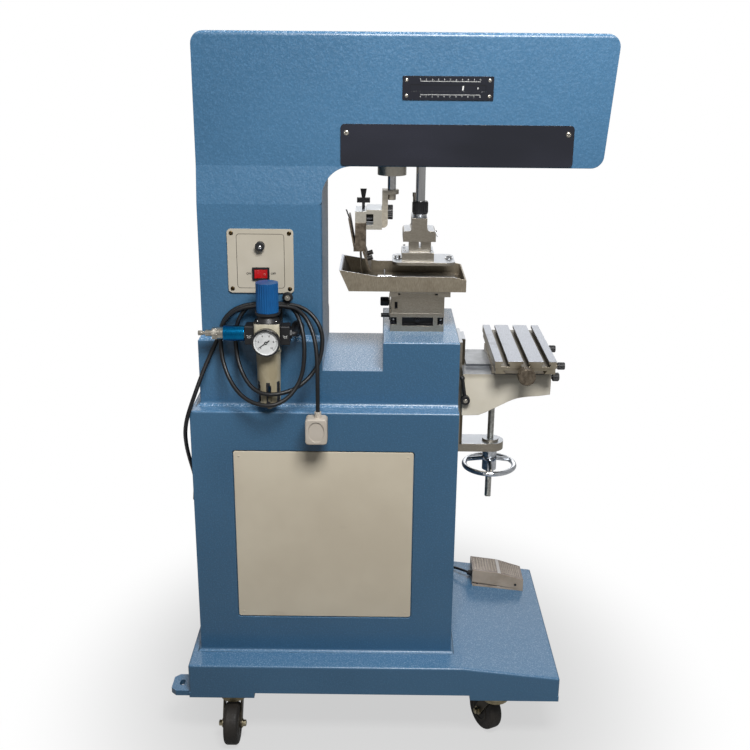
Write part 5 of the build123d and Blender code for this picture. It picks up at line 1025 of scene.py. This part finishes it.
def rockerMarks(values):
    # each mark stands on its own half of the tipped key
    reach = (switchHigh.x - switchLow.x) / 2 - values["rockerIn"]
    marks = []
    for mark, side, deep, lean in values["rocker"]:
        spot = (switchMid.x + side * reach, switchLow.y + deep, switchMid.z)
        marks.append(lettered(mark, spot, values["rockerMark"], "markPink", (lean, -1, 0)))
    return marks


put("panelMarks", "frame", panelMarks(panelSet), "screw_black")
put("rockerMarks", bodyOf["rocker_switch"], rockerMarks(panelSet), "screw_black")

# gauge: ticks and numerals round the dial
gaugeSet = {"middle": (-0.180, 0.7475), "face": -0.1786, "start": 225, "sweep": 270, "steps": 50,
            "ring": 0.0178, "longTick": (0.0030, 0.0005), "shortTick": (0.0016, 0.0003), "numeral": 0.0042,
            "numeralRing": 0.0122}


def gaugeMarks(values):
    x, z = values["middle"]
    bars, marks = [], []
    for step in range(values["steps"] + 1):
        turn = math.radians(values["start"] - values["sweep"] * step / values["steps"])
        high, wide = values["longTick"] if step % 10 == 0 else values["shortTick"]
        ring = values["ring"] - high / 2
        spot = (x + ring * math.cos(turn), values["face"], z + ring * math.sin(turn))
        bars.append((spot, aim(forward, turn), (high, wide, markThick), 0))
        if step % 10 == 0:
            ring = values["numeralRing"]
            spot = (x + ring * math.cos(turn), values["face"], z + ring * math.sin(turn))
            marks.append(lettered(str(step // 5), spot, values["numeral"], "markBlack"))
    return marks + [grown(bar, bars, "markBlack")]


put("gaugeMarks", "frame", gaugeMarks(gaugeSet), "screw_black")

# regulator: bonnet screws and a plain flow mark on each port block
regulatorSet = {"screwIn": 0.0145, "screwZ": 0.7775, "screwHead": 0.0017, "portOut": 0.0292, "portUp": -0.0005,
                "portFront": 0.01405, "markLong": 0.0046, "markThick": 0.0008, "markTurn": 34,
                "rowDrop": 0.0026}


def regulatorMarks(values):
    low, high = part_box("regulator_body")
    middle = (low + high) / 2
    spots = [meet("regulator_trim", (middle.x + way * values["screwIn"], 0, values["screwZ"]), (0, 1, 0))[0]
             for way in (-1, 1)]
    bars = []
    for side in (-1, 1):
        for row in (0, 1):
            for way in (-1, 1):
                spot = (middle.x + side * values["portOut"] + way * values["markLong"] * 0.36,
                        middle.y - values["portFront"], middle.z + values["portUp"] - row * values["rowDrop"])
                size = (values["markLong"] * (1 - 0.35 * row), values["markThick"], 0.0003)
                bars.append((spot, aim(forward, math.radians(way * values["markTurn"])), size, 0))
    return [screws(crossHead, spots, (0, -0.35, 1), values["screwHead"], "brightSteel"),
            grown(bar, bars, "markWhite")]


put("regulatorMarks", "frame", regulatorMarks(regulatorSet), "screw_black")

# lift screw: a rolled thread wound on its core
threadSet = {"pitch": 0.0025, "core": 0.0056, "crest": 0.0004, "perTurn": 14, "endGap": 0.0005}
screwLow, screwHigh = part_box("lift_screw")


def threadShape(tree):
    given = tree.given
    spiral = tree.node("CurveSpiral", None, {
        "Resolution": given["Steps"], "Rotations": given["Length"] / given["Pitch"], "Height": given["Length"],
        "Start Radius": given["Core"], "End Radius": given["Core"]})
    crest = tree.node("CurvePrimitiveCircle", None, {"Resolution": 4, "Radius": given["Crest"]})
    wound = tree.node("CurveToMesh", None, {"Curve": spiral, "Profile Curve": crest, "Fill Caps": True})
    middle = (0, 0, (screwHigh.z - screwLow.z) / 2)
    return tree.joined(wound, tree.cylinder(24, given["Core"], given["Length"], middle))


def liftThread(values):
    middle = (screwLow + screwHigh) / 2
    gap = values["endGap"]
    sizes = {"Length": screwHigh.z - screwLow.z - 2 * gap, "Pitch": values["pitch"], "Core": values["core"],
             "Crest": values["crest"], "Steps": values["perTurn"]}
    foot = (middle.x, middle.y, screwLow.z + gap)
    return [Growth(threadShape, sizes).grow([(foot, (0, 0, 0), (1, 1, 1), 0)], looks["screwSteel"])]


put("liftThread", bodyOf["lift_screw"], liftThread(threadSet), "bright_steel", "lift_screw")

# knurls: ribs set round the knobs and the pad collar
knobSet = (
    # node, middle, facing, radius, length, ribs, look
    ("table_knob", (0.2445, -0.1265, 0.6790), (0, 1, 0), 0.0139, 0.0148, 30, "knobGrey"),
    ("stage_knob", (0.0087, 0, 0.7720), sideward, 0.0072, 0.0125, 20, "screwBlack"),
    ("saddle_knob", (0.3080, -0.040, 0.6495), sideward, 0.0069, 0.0095, 20, "blackPlastic"),
    ("saddle", (0.3162, -0.040, 0.6695), sideward, 0.0059, 0.0105, 18, "blackPlastic"),
    ("saddle", (0.3162, 0.062, 0.6695), sideward, 0.0059, 0.0105, 18, "blackPlastic"),
    ("doctor_knobs", (0.01655, 0, 0.9280), sideward, 0.0114, 0.0078, 22, "screwBlack"),
    ("pad_ram", (0.0670, 0, 0.9365), upward, 0.0126, 0.0170, 24, "blackPlastic"),
)


def knurls(middle, facing, radius, length, count, look):
    stand = standing(facing, middle)
    size = radius * math.pi / count * 0.62
    spots = []
    for step in range(count):
        turn = math.tau * step / count
        spots.append(tuple(stand @ Vector((radius * math.cos(turn), radius * math.sin(turn), 0))))
    return screws(rib, spots, facing, (size, size, length), look, 0)


def pieceName(start, node, end=""):
    words = node.split("_")
    return start + "".join(w.capitalize() if start or k else w for k, w in enumerate(words)) + end


for node in dict.fromkeys(row[0] for row in knobSet):
    put(pieceName("", node, "Knurls"), bodyOf[node], [knurls(*row[1:]) for row in knobSet if row[0] == node],
        "screw_black")

# stage, tray, pad and clamp lever: cap screws, washers and the plate's clip
stageSet = {"x": (0.024, 0.1045), "y": -0.0405, "z": 0.7472, "head": (0.0036, 0.0036, 0.004)}
clipSet = {"left": -0.004, "right": 0.028, "near": -0.0652, "far": -0.0560, "thick": 0.0012, "gap": 0.0001,
           "probeY": -0.0628, "round": 0.0003, "post": 0.0012, "postX": 0.0075, "postY": -0.0605,
           "postHigh": 0.0105, "postUp": 0.001}
padSet = {"boltX": (0.030, 0.118), "flange": 0.005, "head": 0.0052, "topX": (0.0415, 0.0865), "topY": 0.0245,
          "topUp": 0.020, "topHead": (0.0032, 0.0032, 0.003), "sideY": 0.018, "sideUp": 0.009,
          "sideHead": (0.0034, 0.0034, 0.0028)}
leverSet = {"x": 0.149, "z": 0.618, "in": 0.0002, "head": (0.0042, 0.0042, 0.0012)}


def stageScrews(values):
    spots = [(x, values["y"], values["z"]) for x in values["x"]]
    return [screws(socketHead, spots, upward, values["head"], "brightSteel", 1)]


def plateClip(values):
    x, post, high = values["postX"], values["post"], values["postHigh"]
    rim = meet("ink_tray", (x, values["probeY"], 0), (0, 0, -1))[0].z + values["gap"]
    low = (values["left"], values["near"], rim)
    profile = [(post, 0), (post, high * 0.9), (post * 0.6, high)]
    high = (values["right"], values["far"], rim + values["thick"])
    return [block(low, high, values["round"], "brightSteel"),
            turned(profile, (x, values["postY"], rim + values["postUp"]), upward, "brightSteel", 12)]


def padScrews(values):
    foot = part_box("pad_mount")[0].z
    clampLow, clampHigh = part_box("pad_clamp")
    flange = [(x, 0, foot + values["flange"]) for x in values["boltX"]]
    top = [(x, way * values["topY"], foot + values["topUp"]) for x in values["topX"] for way in (-1, 1)]
    side = [(clampHigh.x, way * values["sideY"], clampLow.z + values["sideUp"]) for way in (-1, 1)]
    return [screws(hexHead, flange, upward, values["head"], "brightSteel", 1),
            screws(socketHead, top, upward, values["topHead"], "brightSteel", 1),
            screws(socketHead, side, sideward, values["sideHead"], "brightSteel", 1)]


def leverScrew(values):
    spot = (values["x"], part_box("clamp_lever")[0].y + values["in"], values["z"])
    return [screws(socketHead, [spot], forward, values["head"], "nickel", 0)]


put("stageScrews", "frame", stageScrews(stageSet), "bright_steel")
put("plateClip", bodyOf["ink_tray"], plateClip(clipSet), "bright_steel")
put("padScrews", bodyOf["pad_mount"], padScrews(padSet), "bright_steel")
put("leverScrew", bodyOf["clamp_lever"], leverScrew(leverSet), "bright_steel")

# pedal: rows of small bumps on both slopes, pale grey as a painted highlight on each, and two pin heads
pedalSet = {"rows": 9, "edge": 0.006, "fold": 0.247, "foldBand": 0.0035, "bump": (0.0021, 0.001575),
            "columns": (8, 10), "pins": ((0.010, 0.012, 0.0013), (0.087, 0.010, 0.0026)),
            "pinProud": (0.0006, 0.0009)}
treadLow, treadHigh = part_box("pedal_treadle")


def pedalBumps(values):
    edge, band = values["edge"], values["foldBand"]
    zones = ((treadLow.x + edge, values["fold"] - band - edge * 0.6),
             (values["fold"] + band + edge * 0.5, treadHigh.x - edge))
    places = []
    for (left, right), count, size in zip(zones, values["columns"], values["bump"]):
        for column in range(count):
            for row in range(values["rows"]):
                x = left + (right - left) * column / (count - 1)
                share = (row + 0.5 * (column % 2)) / (values["rows"] - 0.5)
                y = treadLow.y + edge + (treadHigh.y - treadLow.y - 2 * edge) * share
                spot, normal = meet("pedal_treadle", (x, y, 0), (0, 0, -1))
                if spot:
                    places.append((tuple(spot), aim(normal), (size,) * 3, 0))
    # the bumps take the plug's pale grey: a painted highlight
    return [grown(bump, places, "plugGrey")]


def pedalPins(values):
    low, high = values["pinProud"]
    spots = [treadLow + Vector((x, 0, z)) for x, z, r in values["pins"]]
    profiles = [[(r, 0), (r, low), (r * 0.7, high)] for x, z, r in values["pins"]]
    return [turned(profile, spot, forward, "screwBlack", 16) for profile, spot in zip(profiles, spots)]


put("pedalBumps", bodyOf["pedal_treadle"], pedalBumps(pedalSet) + pedalPins(pedalSet), "cream_plastic")

# castors: hub discs on the wheels and nuts on the axle ends
castorSet = {"hub": 0.021, "hubOut": 0.013, "proud": 0.0008, "nutOut": 0.017, "nut": (0.0058, 0.0058, 0.0075)}


def hubDisc(middle, side, values):
    r, proud = values["hub"], values["proud"]
    profile = [(r, -0.002), (r, proud), (r * 0.86, proud), (r * 0.8, -proud), (r * 0.42, -proud),
               (r * 0.36, proud * 0.6), (r * 0.3, proud * 0.6)]
    return turned(profile, middle + side * values["hubOut"], side, "hubBrown")


def castorDetails(corner, values):
    roll = next(joint for joint in frame["joints"] if joint["name"] == "castor_roll_" + corner)
    axle = Vector(roll["axis"]).normalized()
    low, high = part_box("castor_wheel_" + corner)
    middle = (low + high) / 2
    sides = (-axle, axle)
    nuts = [(tuple(middle + side * values["nutOut"]), aim(side), values["nut"], 1) for side in sides]
    put(pieceName("castorHub", corner), bodyOf["castor_wheel_" + corner],
        [hubDisc(middle, side, values) for side in sides], "screw_black")
    put(pieceName("castorNuts", corner), bodyOf["castor_fork_" + corner], [grown(hexHead, nuts, "zinc")],
        "bright_steel")


for corner in ("front_left", "rear_left", "front_right", "rear_right"):
    castorDetails(corner, castorSet)
print("details: screws, marks, thread, knurls, bumps and hubs set")
